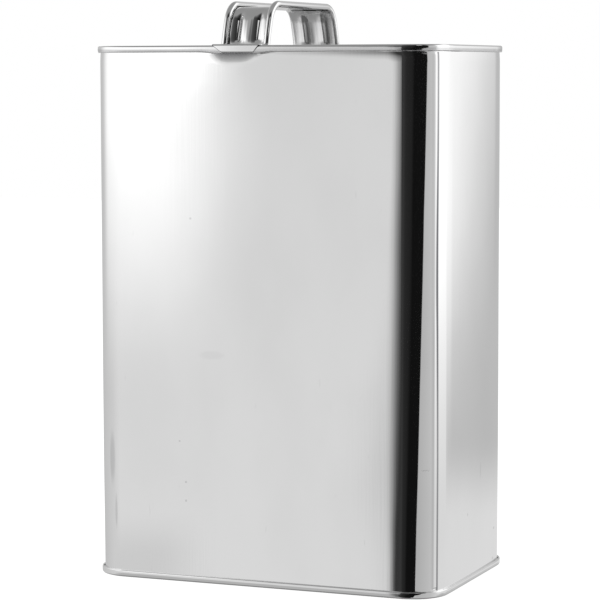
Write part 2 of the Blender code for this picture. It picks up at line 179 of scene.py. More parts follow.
def rounded_path(corners: Sequence[Sequence[float]], steps: int) -> Profile:
    """Rounds a profile of (x, y, radius) corners, each by its own radius.

    Args:
        corners: The corners, the first and last of which are the profile's ends.
        steps: How many steps each arc is drawn in.

    Returns:
        The points of the profile, none of them twice.
    """
    path: Profile = [tuple(corners[0][:2])]
    for before, here, after in zip(corners, corners[1:], corners[2:]):
        if here[2] > 0:
            path += arc_corner(before[:2], here[:2], after[:2], here[2], steps)
        else:
            path.append(tuple(here[:2]))
    path.append(tuple(corners[-1][:2]))
    apart = [here for before, here in zip(path, path[1:]) if math.dist(before, here) > SAME_POINT]
    return path[:1] + apart


@dataclass(frozen=True)
class CanSizes:
    """The sizes that the can's pieces share, as its solids have them."""

    width: float = 165.9 * MM
    depth: float = 103.2 * MM
    height: float = 241.3 * MM
    corner: float = 15.6 * MM
    sheet: float = 0.3 * MM
    gap: float = 0.1 * MM
    seam_height: float = 3.0 * MM
    seam_bend: float = 0.4 * MM
    hook_clearance: float = 0.3 * MM
    compound: float = 0.4 * MM
    handle_x: float = -9.5 * MM
    droop: float = 0.75 * MM
    droop_flat: float = 9.0 * MM
    droop_reach: float = 17.0 * MM
    ease_depth: float = 0.40 * MM
    ease_start: float = -7.5 * MM
    ease_end: float = 4.5 * MM
    ease_skew: float = 1.5
    seam_ease: float = 0.6

    @property
    def reach(self) -> tuple[float, float]:
        """The half width and half depth of the rectangle of the corners' centres."""
        return self.width / 2 - self.corner, self.depth / 2 - self.corner

    def ease_at(self, out: Vector, inner: Vector) -> float:
        """Works out how far a wall lies in from its plain outline, as it does about its corners.

        Args:
            out: The outward direction there.
            inner: The point's place on the rectangle of the corners' centres.

        Returns:
            The distance inwards.
        """
        from_front = math.degrees(math.atan2(abs(out.x), abs(out.y)))
        if from_front < SAME_HEADING:
            into = abs(inner.x) - self.reach[0]
        elif from_front > 90 - SAME_HEADING:
            into = abs(inner.y) - self.reach[1]
        else:
            into = self.corner * math.radians(min(from_front, 90 - from_front))
        share = share_of(into, self.ease_start, self.ease_end)
        return self.ease_depth * ramp(share**self.ease_skew, 0.0, 1.0)

    def seam_ease_at(self, out: Vector, inner: Vector, offset: float) -> float:
        """Returns: how far a layer of the seam, at this offset, follows the wall in about a corner."""
        return self.ease_at(out, inner) * self.seam_ease * share_of(offset, 0.0, self.seaming_wall)

    def droop_at(self, x: float) -> float:
        """Returns: how far the top seam's lower edge hangs down, this far across a wide side."""
        return self.droop * (1 - ramp(abs(x - self.handle_x), self.droop_flat, self.droop_reach))

    @property
    def body_wall(self) -> float:
        """Offset of the body wall's middle from its outer face."""
        return -self.sheet / 2

    @property
    def cover_hook(self) -> float:
        """Offset of the end's hook."""
        return self.gap + self.sheet / 2

    @property
    def body_hook(self) -> float:
        """Offset of the body's hook."""
        return 2 * self.gap + self.sheet * 3 / 2

    @property
    def seaming_wall(self) -> float:
        """Offset of the end's outer wall in the seam."""
        return 3 * self.gap + self.sheet * 5 / 2

    @property
    def chuck_wall(self) -> float:
        """Offset of the end's inner wall in the seam."""
        return -self.sheet - self.gap - self.sheet / 2

    @property
    def flange_drop(self) -> float:
        """How far the body's flange lies below the rim."""
        return self.sheet + 2 * self.gap + self.compound + self.sheet / 2


class Sheet:
    """A piece of sheet metal while it is drawn, as its middle surface."""

    SHARP_ANGLE = 40.0

    def __init__(self) -> None:
        """Starts an empty mesh."""
        self.mesh = bmesh.new()

    def extrude(self, edges: Iterable[BMEdge]) -> tuple[list[BMEdge], list[BMVert]]:
        """Extrudes a chain of edges on the spot.

        Args:
            edges: The chain.

        Returns:
            The new chain's edges, and its points.
        """
        made = bmesh.ops.extrude_edge_only(self.mesh, edges=list(edges))["geom"]
        points = [item for item in made if isinstance(item, BMVert)]
        known = set(points)
        chain = [item for item in made if isinstance(item, BMEdge) and known.issuperset(item.verts)]
        return chain, points

    def finish(self, name: str, thickness: float, mirror_y: bool = False) -> bpy.types.Object:
        """Gives the sheet its thickness and makes it an object.

        Args:
            name: The piece's name.
            thickness: The thickness, laid half to each side.
            mirror_y: True where the other half lies mirrored across the XZ plane.

        Returns:
            The piece, a closed mesh whose edges are sharp where it turns by more than SHARP_ANGLE.
        """
        bmesh.ops.recalc_face_normals(self.mesh, faces=self.mesh.faces)
        piece = as_object(name, self.mesh)
        drawn = piece.data
        if mirror_y:
            mirror = piece.modifiers.new("Other half", "MIRROR")
            mirror.use_axis = (False, True, False)
            mirror.merge_threshold = 10 * SAME_POINT
        wall = piece.modifiers.new("Thickness", "SOLIDIFY")
        wall.thickness = thickness
        wall.offset = 0.0
        wall.use_even_offset = True
        wall.material_offset_rim = 1
        graph = bpy.context.evaluated_depsgraph_get()
        whole = bpy.data.meshes.new_from_object(piece.evaluated_get(graph))
        piece.modifiers.clear()
        piece.data = whole
        bpy.data.meshes.remove(drawn)
        whole.name = name
        whole.shade_smooth()
        whole.set_sharp_from_angle(angle=math.radians(self.SHARP_ANGLE))
        LOG.info("%s has %d faces", name, len(whole.polygons))
        return piece


@dataclass(frozen=True)
class Station:
    """One ring of a sheet that goes round the can."""

    offset: float
    height: float
    bend: float | None = None


class CanRing(Sheet):
    """A sheet drawn in rings round the can, each one extruded from the last.

    The first ring is a rectangle with bevelled corners. Each of its points keeps where it lies on
    the rectangle of the corners' centres and which way is out, so a ring at any offset is parallel.
    """

    PANEL_STEP = 2.4 * MM
    CORNER_STEPS = 24
    LAP_CORNER_STEPS = 90
    EASED_REACH = 10.0 * MM
    EASED_CUTS = 2

    def __init__(self, can: CanSizes) -> None:
        """Args: can: The can's sizes."""
        super().__init__()
        self.can = can
        self.inner = self.mesh.verts.layers.float_vector.new("inner")
        self.outward = self.mesh.verts.layers.float_vector.new("outward")

    def outline(self) -> list[BMEdge]:
        """Draws the first ring over the body's outer face.

        Returns:
            The ring's edges.
        """
        can = self.can
        square = bmesh.ops.create_grid(self.mesh, x_segments=1, y_segments=1, size=0.5)["verts"]
        bmesh.ops.scale(self.mesh, vec=(can.width, can.depth, 1.0), verts=square)
        for corner in list(self.mesh.verts):
            has_lap = corner.co.x > 0 > corner.co.y
            bmesh.ops.bevel(
                self.mesh,
                geom=[corner],
                offset=can.corner,
                offset_type="OFFSET",
                segments=self.LAP_CORNER_STEPS if has_lap else self.CORNER_STEPS,
                profile=0.5,
                affect="VERTICES",
                material=-1,
                clamp_overlap=False,
            )
        bmesh.ops.delete(self.mesh, geom=list(self.mesh.faces), context="FACES_ONLY")
        for edge in [edge for edge in self.mesh.edges if edge.calc_length() > can.corner]:
            cuts = round(edge.calc_length() / self.PANEL_STEP) - 1
            bmesh.ops.subdivide_edges(self.mesh, edges=[edge], cuts=cuts)
        reach = can.reach
        eased = [
            edge
            for edge in self.mesh.edges
            if edge.calc_length() > self.PANEL_STEP / 2 and self.beside_corner(edge, reach)
        ]
        bmesh.ops.subdivide_edges(self.mesh, edges=eased, cuts=self.EASED_CUTS)
        for point in self.mesh.verts:
            inner = Vector((
                min(max(point.co.x, -reach[0]), reach[0]),
                min(max(point.co.y, -reach[1]), reach[1]),
                0.0,
            ))
            point[self.inner] = inner
            point[self.outward] = (point.co - inner).normalized()
        return list(self.mesh.edges)

    def beside_corner(self, edge: BMEdge, reach: tuple[float, float]) -> bool:
        """Returns: whether an edge of the outline, which reaches this far, lies on a panel by a corner."""
        middle = (edge.verts[0].co + edge.verts[1].co) / 2
        past = (abs(middle.x) - reach[0], abs(middle.y) - reach[1])
        return -self.EASED_REACH < min(past) < 0

    def place(self, point: BMVert, station: Station) -> None:
        """Moves a point of the ring to a station.

        Args:
            point: The point.
            station: Where its ring goes.
        """
        can = self.can
        bend = can.corner + station.offset if station.bend is None else station.bend
        wide = (can.width / 2 + station.offset - bend) / can.reach[0]
        deep = (can.depth / 2 + station.offset - bend) / can.reach[1]
        inner = point[self.inner]
        spot = Vector((inner.x * wide, inner.y * deep, 0.0)) + point[self.outward] * bend
        point.co = (spot.x, spot.y, station.height)

    def offset_of(self, point: BMVert) -> float:
        """Returns: how far a point lies out from the body's outer face."""
        away = Vector((point.co.x, point.co.y, 0.0)) - point[self.inner]
        return away.dot(point[self.outward]) - self.can.corner

    def sweep(self, stations: Sequence[Station]) -> list[BMEdge]:
        """Draws the sheet from station to station.

        Args:
            stations: The rings, in order.

        Returns:
            The last ring's edges.
        """
        ring = self.outline()
        for point in self.mesh.verts:
            self.place(point, stations[0])
        for station in stations[1:]:
            ring, points = self.extrude(ring)
            for point in points:
                self.place(point, station)
        return ring


@dataclass(frozen=True)
class Flare:
    """Where a panel comes out towards the seam that a handle tab was pressed over, and the painted shade
    under that tab.
    """

    x: float = -11.5 * MM
    flat: float = 4.0 * MM
    reach_left: float = 16.5 * MM
    reach_right: float = 20.0 * MM
    hidden: float = 0.4 * MM
    run: float = 5.4 * MM
    run_at_ends: float = 0.4
    height: float = 1.15 * MM
    sharpness: float = 1.5
    # Painted shade: how dark the panel is painted in the flare under the tab's seam
    painted_shade: float = 0.7

    def share_at(self, x: float) -> float:
        """Returns: how strong the flare is, this far across."""
        reach = self.reach_left if x < self.x else self.reach_right
        return 1 - ramp(abs(x - self.x), self.flat, reach)

    def fade_at(self, x: float, drop: float, crest: float) -> float:
        """Returns: 1 where the flare leaves a seam this high, and 0 where it has run out."""
        run = self.run * (self.run_at_ends + (1 - self.run_at_ends) * self.share_at(x))
        return 1 - share_of(drop, crest, crest + run)

    def height_at(self, x: float, drop: float, crest: float) -> float:
        """Returns: how far the panel comes out, this far across and down, under a seam this high."""
        shown = ramp(drop, crest - self.hidden, crest) * self.fade_at(x, drop, crest) ** self.sharpness
        return self.height * self.share_at(x) * shown

    def painted_shade_at(self, x: float, drop: float, crest: float) -> float:
        """Returns: how much painted shade darkens the panel, this far across and down, under a seam this
        high.
        """
        return self.painted_shade * self.share_at(x) * self.fade_at(x, drop, crest)


@dataclass(frozen=True)
class CanBody:
    """The wrapped body, with its welded lap, its hooks in the seams and its hand-sized flaws.

    The lap's start, end, edge, ease and wander and the weld's width are in degrees of heading.
    """

    can: CanSizes
    lap_start: float = 53.2
    lap_end: float = 63.8
    lap_run_out: float = 1.2 * MM
    lap_edge: float = 2.4
    lap_rise: float = 0.18 * MM
    lap_swell: float = 0.14 * MM
    lap_ease: float = 3.0
    lap_line_top: float = 123.0 * MM
    lap_line_fade: float = 10.0 * MM
    lap_wander: float = 1.8
    weld_width: float = 5.2
    weld_at_ends: float = 0.75
    scorch_height: float = 140.0 * MM
    scorch_reach: float = 85.0 * MM
    row_step: float = 5.0 * MM
    fine_row: float = 0.42 * MM
    fine_zone: float = 9.0 * MM
    relief_fade: float = 1.0 * MM
    lift: float = 0.22 * MM
    lift_top_fade: float = 5.0 * MM
    lift_low_fade: float = 60.0 * MM
    front_bow: float = 0.10 * MM
    side_bow: float = 0.30 * MM
    sway: float = 0.07 * MM
    sway_size: float = 55.0 * MM
    sway_shift: Triple = (3.1, 7.7, 1.9)
    ripple: float = 0.012 * MM
    ripple_size: float = 17.0 * MM
    fold_steps: int = 4
    flare: Flare = Flare()

    def build(self) -> bpy.types.Object:
        """Draws the body from its top hook to its bottom hook.

        Returns:
            The piece.
        """
        can = self.can
        ring = CanRing(can)
        ring.sweep(self.stations())
        for point in ring.mesh.verts:
            out = point[ring.outward]
            offset = ring.offset_of(point)
            if offset < SAME_POINT:
                drop = min(point.co.z, can.height - point.co.z)
                point.co += out * self.relief(point.co, out, point[ring.inner], drop)
            else:
                point.co -= out * can.seam_ease_at(out, point[ring.inner], offset)
        dull = ring.mesh.verts.layers.float.new("dull")
        for point in ring.mesh.verts:
            out = point[ring.outward]
            point[dull] = self.weld_share(out, point.co.z)
            # On the front panel the dull attribute holds painted shade under the tab's flare in place of the
            # weld's scorch
            if out.y < -1 + SAME_POINT:
                crest = can.seam_height + can.droop_at(point.co.x)
                point[dull] = self.flare.painted_shade_at(point.co.x, can.height - point.co.z, crest)
        return ring.finish("can_body", can.sheet)

    def stations(self) -> list[Station]:
        """Returns: the rings of the top hook, the wall and the bottom hook."""
        can = self.can
        fold = (can.body_hook - can.body_wall) / 2
        hook_low = can.seam_height - can.sheet - can.hook_clearance
        hidden = can.seam_height - self.relief_fade
        hook = rounded_path([
            (can.body_hook, hook_low, 0),
            (can.body_hook, can.flange_drop, fold),
            (can.body_wall, can.flange_drop, fold),
            *[(can.body_wall, level, 0) for level in spaced(hidden, can.seam_height, self.fine_row / 2)],
        ], self.fold_steps)
        low, high = can.seam_height, can.height - can.seam_height
        fine_top = spaced(high, high - self.fine_zone, self.fine_row)
        middle = spaced(high - self.fine_zone, low + self.fine_zone, self.row_step)
        fine_low = spaced(low + self.fine_zone, low, self.fine_row)
        levels = fine_top[1:] + middle[1:] + fine_low[1:-1]
        top = [Station(offset, can.height - drop) for offset, drop in hook]
        wall = [Station(can.body_wall, level) for level in levels]
        return top + wall + [Station(offset, drop) for offset, drop in reversed(hook)]

    def weld_share(self, out: Vector, height: float) -> float:
        """Returns: how scorched the wall is, most of all on the lap's rear edge half way up."""
        scorch = hump(height, self.scorch_height, self.scorch_reach)
        across = hump(heading_of(out), self.lap_end - self.lap_wander * scorch, self.weld_width)
        return across * (self.weld_at_ends + (1 - self.weld_at_ends) * scorch)

    def relief(self, spot: Vector, out: Vector, inner: Vector, drop: float) -> float:
        """Works out how far the wall lies off its plain shape at a point.

        Args:
            spot: The point.
            out: The outward direction there.
            inner: The point's place on the rectangle of the corners' centres.
            drop: How far the point is from the nearer rim.

        Returns:
            The distance outwards.
        """
        can = self.can
        free = ramp(drop, can.seam_height - self.relief_fade, can.seam_height)
        under_seam = share_of(can.height - spot.z, can.seam_height, can.seam_height + self.lift_top_fade)
        over_seam = ramp(spot.z - can.seam_height, 0.0, self.lift_low_fade)
        lift = self.lift * (1 - (1 - under_seam) ** 2) * over_seam
        heading = heading_of(out)
        wide, deep = can.reach
        on_front = abs(out.x) < math.radians(SAME_HEADING)
        bow = 0.0
        if on_front:
            bow = self.front_bow * (1 - (inner.x / wide) ** 2) ** 2
        elif abs(out.y) < math.radians(SAME_HEADING):
            bow = self.side_bow * (1 - (inner.y / deep) ** 2)
        away = lift + free * (bow - can.ease_at(out, inner))
        broad = noise.noise(spot / self.sway_size + Vector(self.sway_shift))
        small = noise.noise(spot / self.ripple_size)
        away += free * (self.sway * broad + self.ripple * small)
        if on_front:
            crest = can.seam_height + can.droop_at(spot.x)
            away += self.flare.height_at(spot.x, can.height - spot.z, crest)
        if heading < self.lap_end and drop > can.seam_height + self.lap_run_out:
            start, top, fade = self.lap_start, self.lap_line_top, self.lap_line_fade
            ridge = start + self.lap_edge
            away += self.lap_swell * ramp(heading, start - self.lap_ease, start + self.lap_ease)
            fall = share_of(heading, ridge, ridge + self.lap_end - start)
            sharp = 1 - ramp(spot.z, top - fade, top + fade)
            away += self.lap_rise * sharp * ramp(heading, start, ridge) * (1 - fall)
        return away


@dataclass(frozen=True)
class EndSizes:
    """What tells the top end from the bottom one."""

    name: str
    panel_depth: float
    upside_down: bool
    crest: float
    # Painted shade on the lower half of the seam's outer wall
    lower_wall_shade: float
    # Painted shadow along the seam's lower edge, about the corner with the lap
    stain_and_shade: float


@dataclass(frozen=True)
class CanEnd:
    """One pressed end with its half of the double seam."""

    can: CanSizes
    sizes: EndSizes
    panel_bend: float = 1.2 * MM
    panel_margin: float = 1.0 * MM
    fold_steps: int = 8
    seam_row: float = 0.2 * MM
    inner_fold: float = 0.18 * MM
    shoulder: float = 0.8 * MM
    rim_slope: float = 0.08
    hem_slope: float = 0.18
    crest_bend: float = 0.25 * MM
    outer_fold: float = 0.35 * MM
    # Where the painted shade on the seam's outer wall starts, down from the rim
    lower_wall_shade_top: float = 0.8 * MM
    seam_shade_near: float = 16.0 * MM
    seam_shade_far: float = 34.0 * MM
    seam_shade_size: float = 2.0 * MM
    seam_shade_patches: tuple[float, float] = (-0.5, 0.1)
    wrinkle: float = 0.07 * MM
    wrinkle_size: float = 3.0 * MM
    wrinkle_on_panels: float = 0.35
    wrinkle_inwards: float = 0.6
    wrinkle_corner: float = 0.2
    droop_corner: float = 0.9

    def wall_at(self, drop: float) -> float:
        """Returns: the offset of the seam's outer wall, which falls back both ways from its crest."""
        turn, bend = (self.hem_slope - self.rim_slope) / 2, self.crest_bend
        lean = (self.hem_slope + self.rim_slope) / 2
        below = drop - self.sizes.crest
        highest = bend * math.sqrt(lean**2 - turn**2)
        return self.can.seaming_wall + highest - turn * below - lean * math.hypot(below, bend)

    def seam_stations(self) -> list[Station]:
        """Returns: the rings from the cover hook over the seam and down to the panel."""
        can = self.can
        low = can.seam_height - can.sheet / 2
        high = can.sheet / 2
        panel = self.sizes.panel_depth + can.sheet / 2
        cover_hook = can.flange_drop + can.sheet / 2 + can.hook_clearance
        inside = can.chuck_wall
        levels = spaced(low - self.outer_fold, high + self.shoulder, self.seam_row)
        outside = [(self.wall_at(level), level, 0) for level in levels]
        drops = rounded_path([
            (can.cover_hook, cover_hook, 0),
            (can.cover_hook, low, self.inner_fold),
            (outside[0][0], low, self.outer_fold),
            *outside,
            (outside[-1][0], high, self.shoulder),
            (inside, high, can.seam_bend),
            (inside, panel, self.panel_bend),
            (inside - self.panel_bend - self.panel_margin, panel, 0),
        ], self.fold_steps)
        return [Station(offset, self.level(drop)) for offset, drop in drops]

    def level(self, drop: float) -> float:
        """Returns: the height of what lies this far in from the rim."""
        return drop if self.sizes.upside_down else self.can.height - drop

    def work_the_seam(self, ring: CanRing) -> None:
        """Lets the seam's outer wall wander a little and droop under the handle's tabs, and paints shade on
        its lower half and a shadow along its lower edge.

        Args:
            ring: The end as drawn so far.
        """
        can = self.can
        dull = ring.mesh.verts.layers.float.new("dull")
        for point in ring.mesh.verts:
            out = point[ring.outward]
            offset = ring.offset_of(point)
            drop = point.co.z if self.sizes.upside_down else can.height - point.co.z
            if offset < can.cover_hook - SAME_POINT or drop > can.seam_height + SAME_POINT:
                continue
            low = ramp(drop, can.seam_bend, can.seam_height)
            outer = ramp(offset, can.cover_hook, can.seaming_wall)
            # Painted shade: the seam's outer wall is painted darker from near its top down past its crest
            lower_wall_shade = self.sizes.lower_wall_shade * outer * ramp(drop, self.lower_wall_shade_top, self.sizes.crest)
            # Painted shadow along the seam's lower edge, patchy about the corner with the lap
            point[dull] = max(lower_wall_shade, self.seam_shade_at(point.co, drop))
            strength = self.wrinkle_on_panels + ramp(abs(out.x * out.y), 0.0, self.wrinkle_corner)
            shake = (noise.noise(point.co / self.wrinkle_size) - self.wrinkle_inwards) * strength
            point.co += out * shake * self.wrinkle * low * outer
            point.co -= out * can.seam_ease_at(out, point[ring.inner], offset)
            if not self.sizes.upside_down:
                point.co.z -= can.droop_at(point.co.x) * low * ramp(abs(out.y), self.droop_corner, 1.0)

    def seam_shade_at(self, spot: Vector, drop: float) -> float:
        """Returns: how dark the painted shadow along the seam's lower edge is, patchily so about the corner
        with the lap.
        """
        wide, deep = self.can.reach
        away = math.hypot(spot.x - wide, spot.y + deep)
        near = 1 - ramp(away, self.seam_shade_near, self.seam_shade_far)
        patches = ramp(noise.noise(spot / self.seam_shade_size), *self.seam_shade_patches)
        edge = self.can.seam_height - self.can.sheet / 2
        return self.sizes.stain_and_shade * near * patches * ramp(drop, edge - self.outer_fold, edge)


@dataclass(frozen=True)
class TopEnd(CanEnd):
    """The top end, with the sunken well for the cap and the hole for its neck."""

    well_x: float = 45.0 * MM
    well_radius: float = 28.0 * MM
    well_slope: float = 1.0 * MM
    well_depth: float = 4.5 * MM
    well_bend: float = 1.2 * MM
    hole_radius: float = 14.05 * MM
    round_steps: int = 128

    def build(self) -> bpy.types.Object:
        """Draws the seam and panel, then the well, and fills the panel between them.

        Returns:
            The piece.
        """
        ring = CanRing(self.can)
        rim = ring.sweep(self.seam_stations())
        self.work_the_seam(ring)
        panel = self.level(self.sizes.panel_depth + self.can.sheet / 2)
        floor = panel - self.well_depth
        profile = rounded_path([
            (self.well_radius + self.well_bend + self.panel_margin, panel, 0),
            (self.well_radius, panel, self.well_bend),
            (self.well_radius - self.well_slope, floor, self.well_bend),
            (self.hole_radius, floor, 0),
        ], self.fold_steps)
        well = spin_profile(ring.mesh, profile, self.well_x, self.round_steps)
        outer = self.well_radius + self.well_bend + self.panel_margin - SAME_POINT
        mouth = [edge for edge in well if all(from_axis(end, self.well_x) > outer for end in edge.verts)]
        bmesh.ops.triangle_fill(ring.mesh, use_beauty=True, edges=rim + mouth)
        worn = ring.mesh.verts.layers.float.new("worn")
        for point in ring.mesh.verts:
            point[worn] = 1.0 if point.co.z < self.level(self.sizes.panel_depth / 2) else 0.0
        return ring.finish(self.sizes.name, self.can.sheet)


@dataclass(frozen=True)
class BottomEnd(CanEnd):
    """The bottom end, recessed, with one stiffening step in its panel."""

    step_inset: float = 14.0 * MM
    step_radius: float = 10.0 * MM
    step_slope: float = 2.0 * MM
    step_rise: float = 1.2 * MM
    step_blend: int = 8

    def build(self) -> bpy.types.Object:
        """Draws the seam, the recess and the step.

        Returns:
            The piece.
        """
        ring = CanRing(self.can)
        stations = self.seam_stations()
        height = stations[-1].height
        for share in spaced(0.0, 1.0, 1.0 / self.step_blend):
            inset = -self.step_inset - self.step_slope * share
            bend = self.step_radius + self.step_slope * (1 - share)
            stations.append(Station(inset, height + self.step_rise * ramp(share, 0.0, 1.0), bend))
        edge = ring.sweep(stations)
        self.work_the_seam(ring)
        bmesh.ops.edgeloop_fill(ring.mesh, edges=edge)
        return ring.finish(self.sizes.name, self.can.sheet)


def spin_profile(
    mesh: bmesh.types.BMesh, profile: Profile, centre_x: float, steps: int, angle: float = TAU
) -> list[BMEdge]:
    """Spins a profile about an upright axis, from +X towards +Y.

    Args:
        mesh: The mesh it is drawn in.
        profile: The profile's (radius, height) points.
        centre_x: Where the axis stands.
        steps: How many steps the turn takes.
        angle: How far it turns. A full turn closes on itself.

    Returns:
        The edges of the new surface.
    """
    points = [mesh.verts.new((centre_x + radius, 0.0, height)) for radius, height in profile]
    chain = [mesh.edges.new(pair) for pair in zip(points, points[1:])]
    before = set(mesh.edges) - set(chain)
    bmesh.ops.spin(
        mesh,
        geom=points + chain,
        cent=(centre_x, 0.0, 0.0),
        axis=(0.0, 0.0, 1.0),
        dvec=(0.0, 0.0, 0.0),
        angle=angle,
        steps=steps,
        use_merge=angle == TAU,
    )
    return [edge for edge in mesh.edges if edge not in before]


@dataclass(frozen=True)
class RolledThread:
    """The right-handed thread that neck and cap share."""

    centre_x: float = 45.0 * MM
    pitch: float = 3.2 * MM
    depth: float = 0.8 * MM
    fade: float = 0.8 * MM
    row: float = 0.16 * MM
    steps: int = 128

    def wave(self, spot: Vector) -> float:
        """Returns: how far the thread stands out of its root at a place."""
        turn = math.atan2(spot.y, spot.x - self.centre_x) / TAU
        return self.depth * (1 + math.cos(TAU * (spot.z / self.pitch - turn))) / 2

    def roll_into(self, mesh: bmesh.types.BMesh, wall: float, low: float, high: float, inward: bool) -> None:
        """Presses the thread into a wall.

        Args:
            mesh: The spun sheet.
            wall: The wall's radius.
            low: Where the thread starts.
            high: Where it ends.
            inward: True where it stands in from the wall, as on a cap.
        """
        for point in mesh.verts:
            arm = Vector((point.co.x - self.centre_x, point.co.y, 0.0))
            if abs(arm.length - wall) > SAME_POINT:
                continue
            height = point.co.z
            window = ramp(height, low, low + self.fade) - ramp(height, high - self.fade, high)
            wave = self.wave(point.co)
            reach = wave - self.depth if inward else wave
            point.co += arm.normalized() * window * reach


@dataclass(frozen=True)
class ScrewNeck:
    """The threaded neck, clinched under the well's floor and beaded over its gasket."""

    can: CanSizes
    thread: RolledThread
    floor_top: float = 231.8 * MM
    throat: float = 13.6 * MM
    clinch: float = 2.6 * MM
    bead: float = 18.05 * MM
    bead_middle: float = 232.75 * MM
    fold: float = 0.35 * MM
    bend: float = 0.45 * MM
    wall: float = 15.85 * MM
    top: float = 238.9 * MM
    lip: float = 1.2 * MM
    fold_steps: int = 5

    def build(self) -> bpy.types.Object:
        """Spins the neck's profile and rolls the thread into it.

        Returns:
            The piece.
        """
        sheet = self.can.sheet
        clinch = self.floor_top - sheet - self.can.gap - sheet / 2
        bead_high = self.bead_middle + 2 * self.fold
        lip = self.top - sheet / 2
        low = bead_high + sheet / 2
        high = lip - self.bend
        rows = [(self.wall, level, 0) for level in spaced(bead_high + self.bend, high, self.thread.row)]
        profile = rounded_path([
            (self.throat + self.clinch, clinch, 0),
            (self.throat, clinch, self.bend),
            (self.throat, self.bead_middle, self.bend),
            (self.bead, self.bead_middle, self.fold),
            (self.bead, bead_high, self.fold),
            (self.wall, bead_high, self.bend),
            *rows,
            (self.wall, lip, self.bend),
            (self.wall - self.lip, lip, 0),
        ], self.fold_steps)
        neck = Sheet()
        spin_profile(neck.mesh, profile, self.thread.centre_x, self.thread.steps)
        self.thread.roll_into(neck.mesh, self.wall, low, high, inward=False)
        return neck.finish("screw_neck_tinplate", sheet)


@dataclass(frozen=True)
class ScrewCap:
    """The screw cap: flared edge, threaded skirt and dished top."""

    can: CanSizes
    thread: RolledThread
    top: float = 240.8 * MM
    base: float = 234.2 * MM
    wall: float = 17.35 * MM
    flare: float = 0.8 * MM
    flare_bend: float = 0.5 * MM
    bend: float = 0.8 * MM
    dish_radius: float = 14.5 * MM
    dish_slope: float = 0.6 * MM
    dish_depth: float = 0.4 * MM
    dish_bend: float = 0.2 * MM
    dish_flat: float = 1.2 * MM
    thread_top: float = 239.0 * MM
    fold_steps: int = 6

    def build(self) -> bpy.types.Object:
        """Spins the cap's profile, rolls the thread into it and closes its top.

        Returns:
            The piece.
        """
        sheet = self.can.sheet
        top = self.top - sheet / 2
        base = self.base + sheet / 2
        low = base + self.flare_bend
        dish = self.dish_radius - self.dish_slope
        rows = [(self.wall, level, 0) for level in spaced(low, top - self.bend, self.thread.row)]
        profile = rounded_path([
            (self.wall + self.flare, base, 0),
            (self.wall, base, self.flare_bend),
            *rows,
            (self.wall, top, self.bend),
            (self.dish_radius, top, self.dish_bend),
            (dish, top - self.dish_depth, self.dish_bend),
            (dish - self.dish_flat, top - self.dish_depth, 0),
        ], self.fold_steps)
        cap = Sheet()
        edges = spin_profile(cap.mesh, profile, self.thread.centre_x, self.thread.steps)
        self.thread.roll_into(cap.mesh, self.wall, low, self.thread_top, inward=True)
        inner = dish - self.dish_flat + SAME_POINT
        centre = self.thread.centre_x
        rim = [edge for edge in edges if all(from_axis(end, centre) < inner for end in edge.verts)]
        bmesh.ops.edgeloop_fill(cap.mesh, edges=rim)
        return cap.finish("screw_cap_tinplate", sheet)


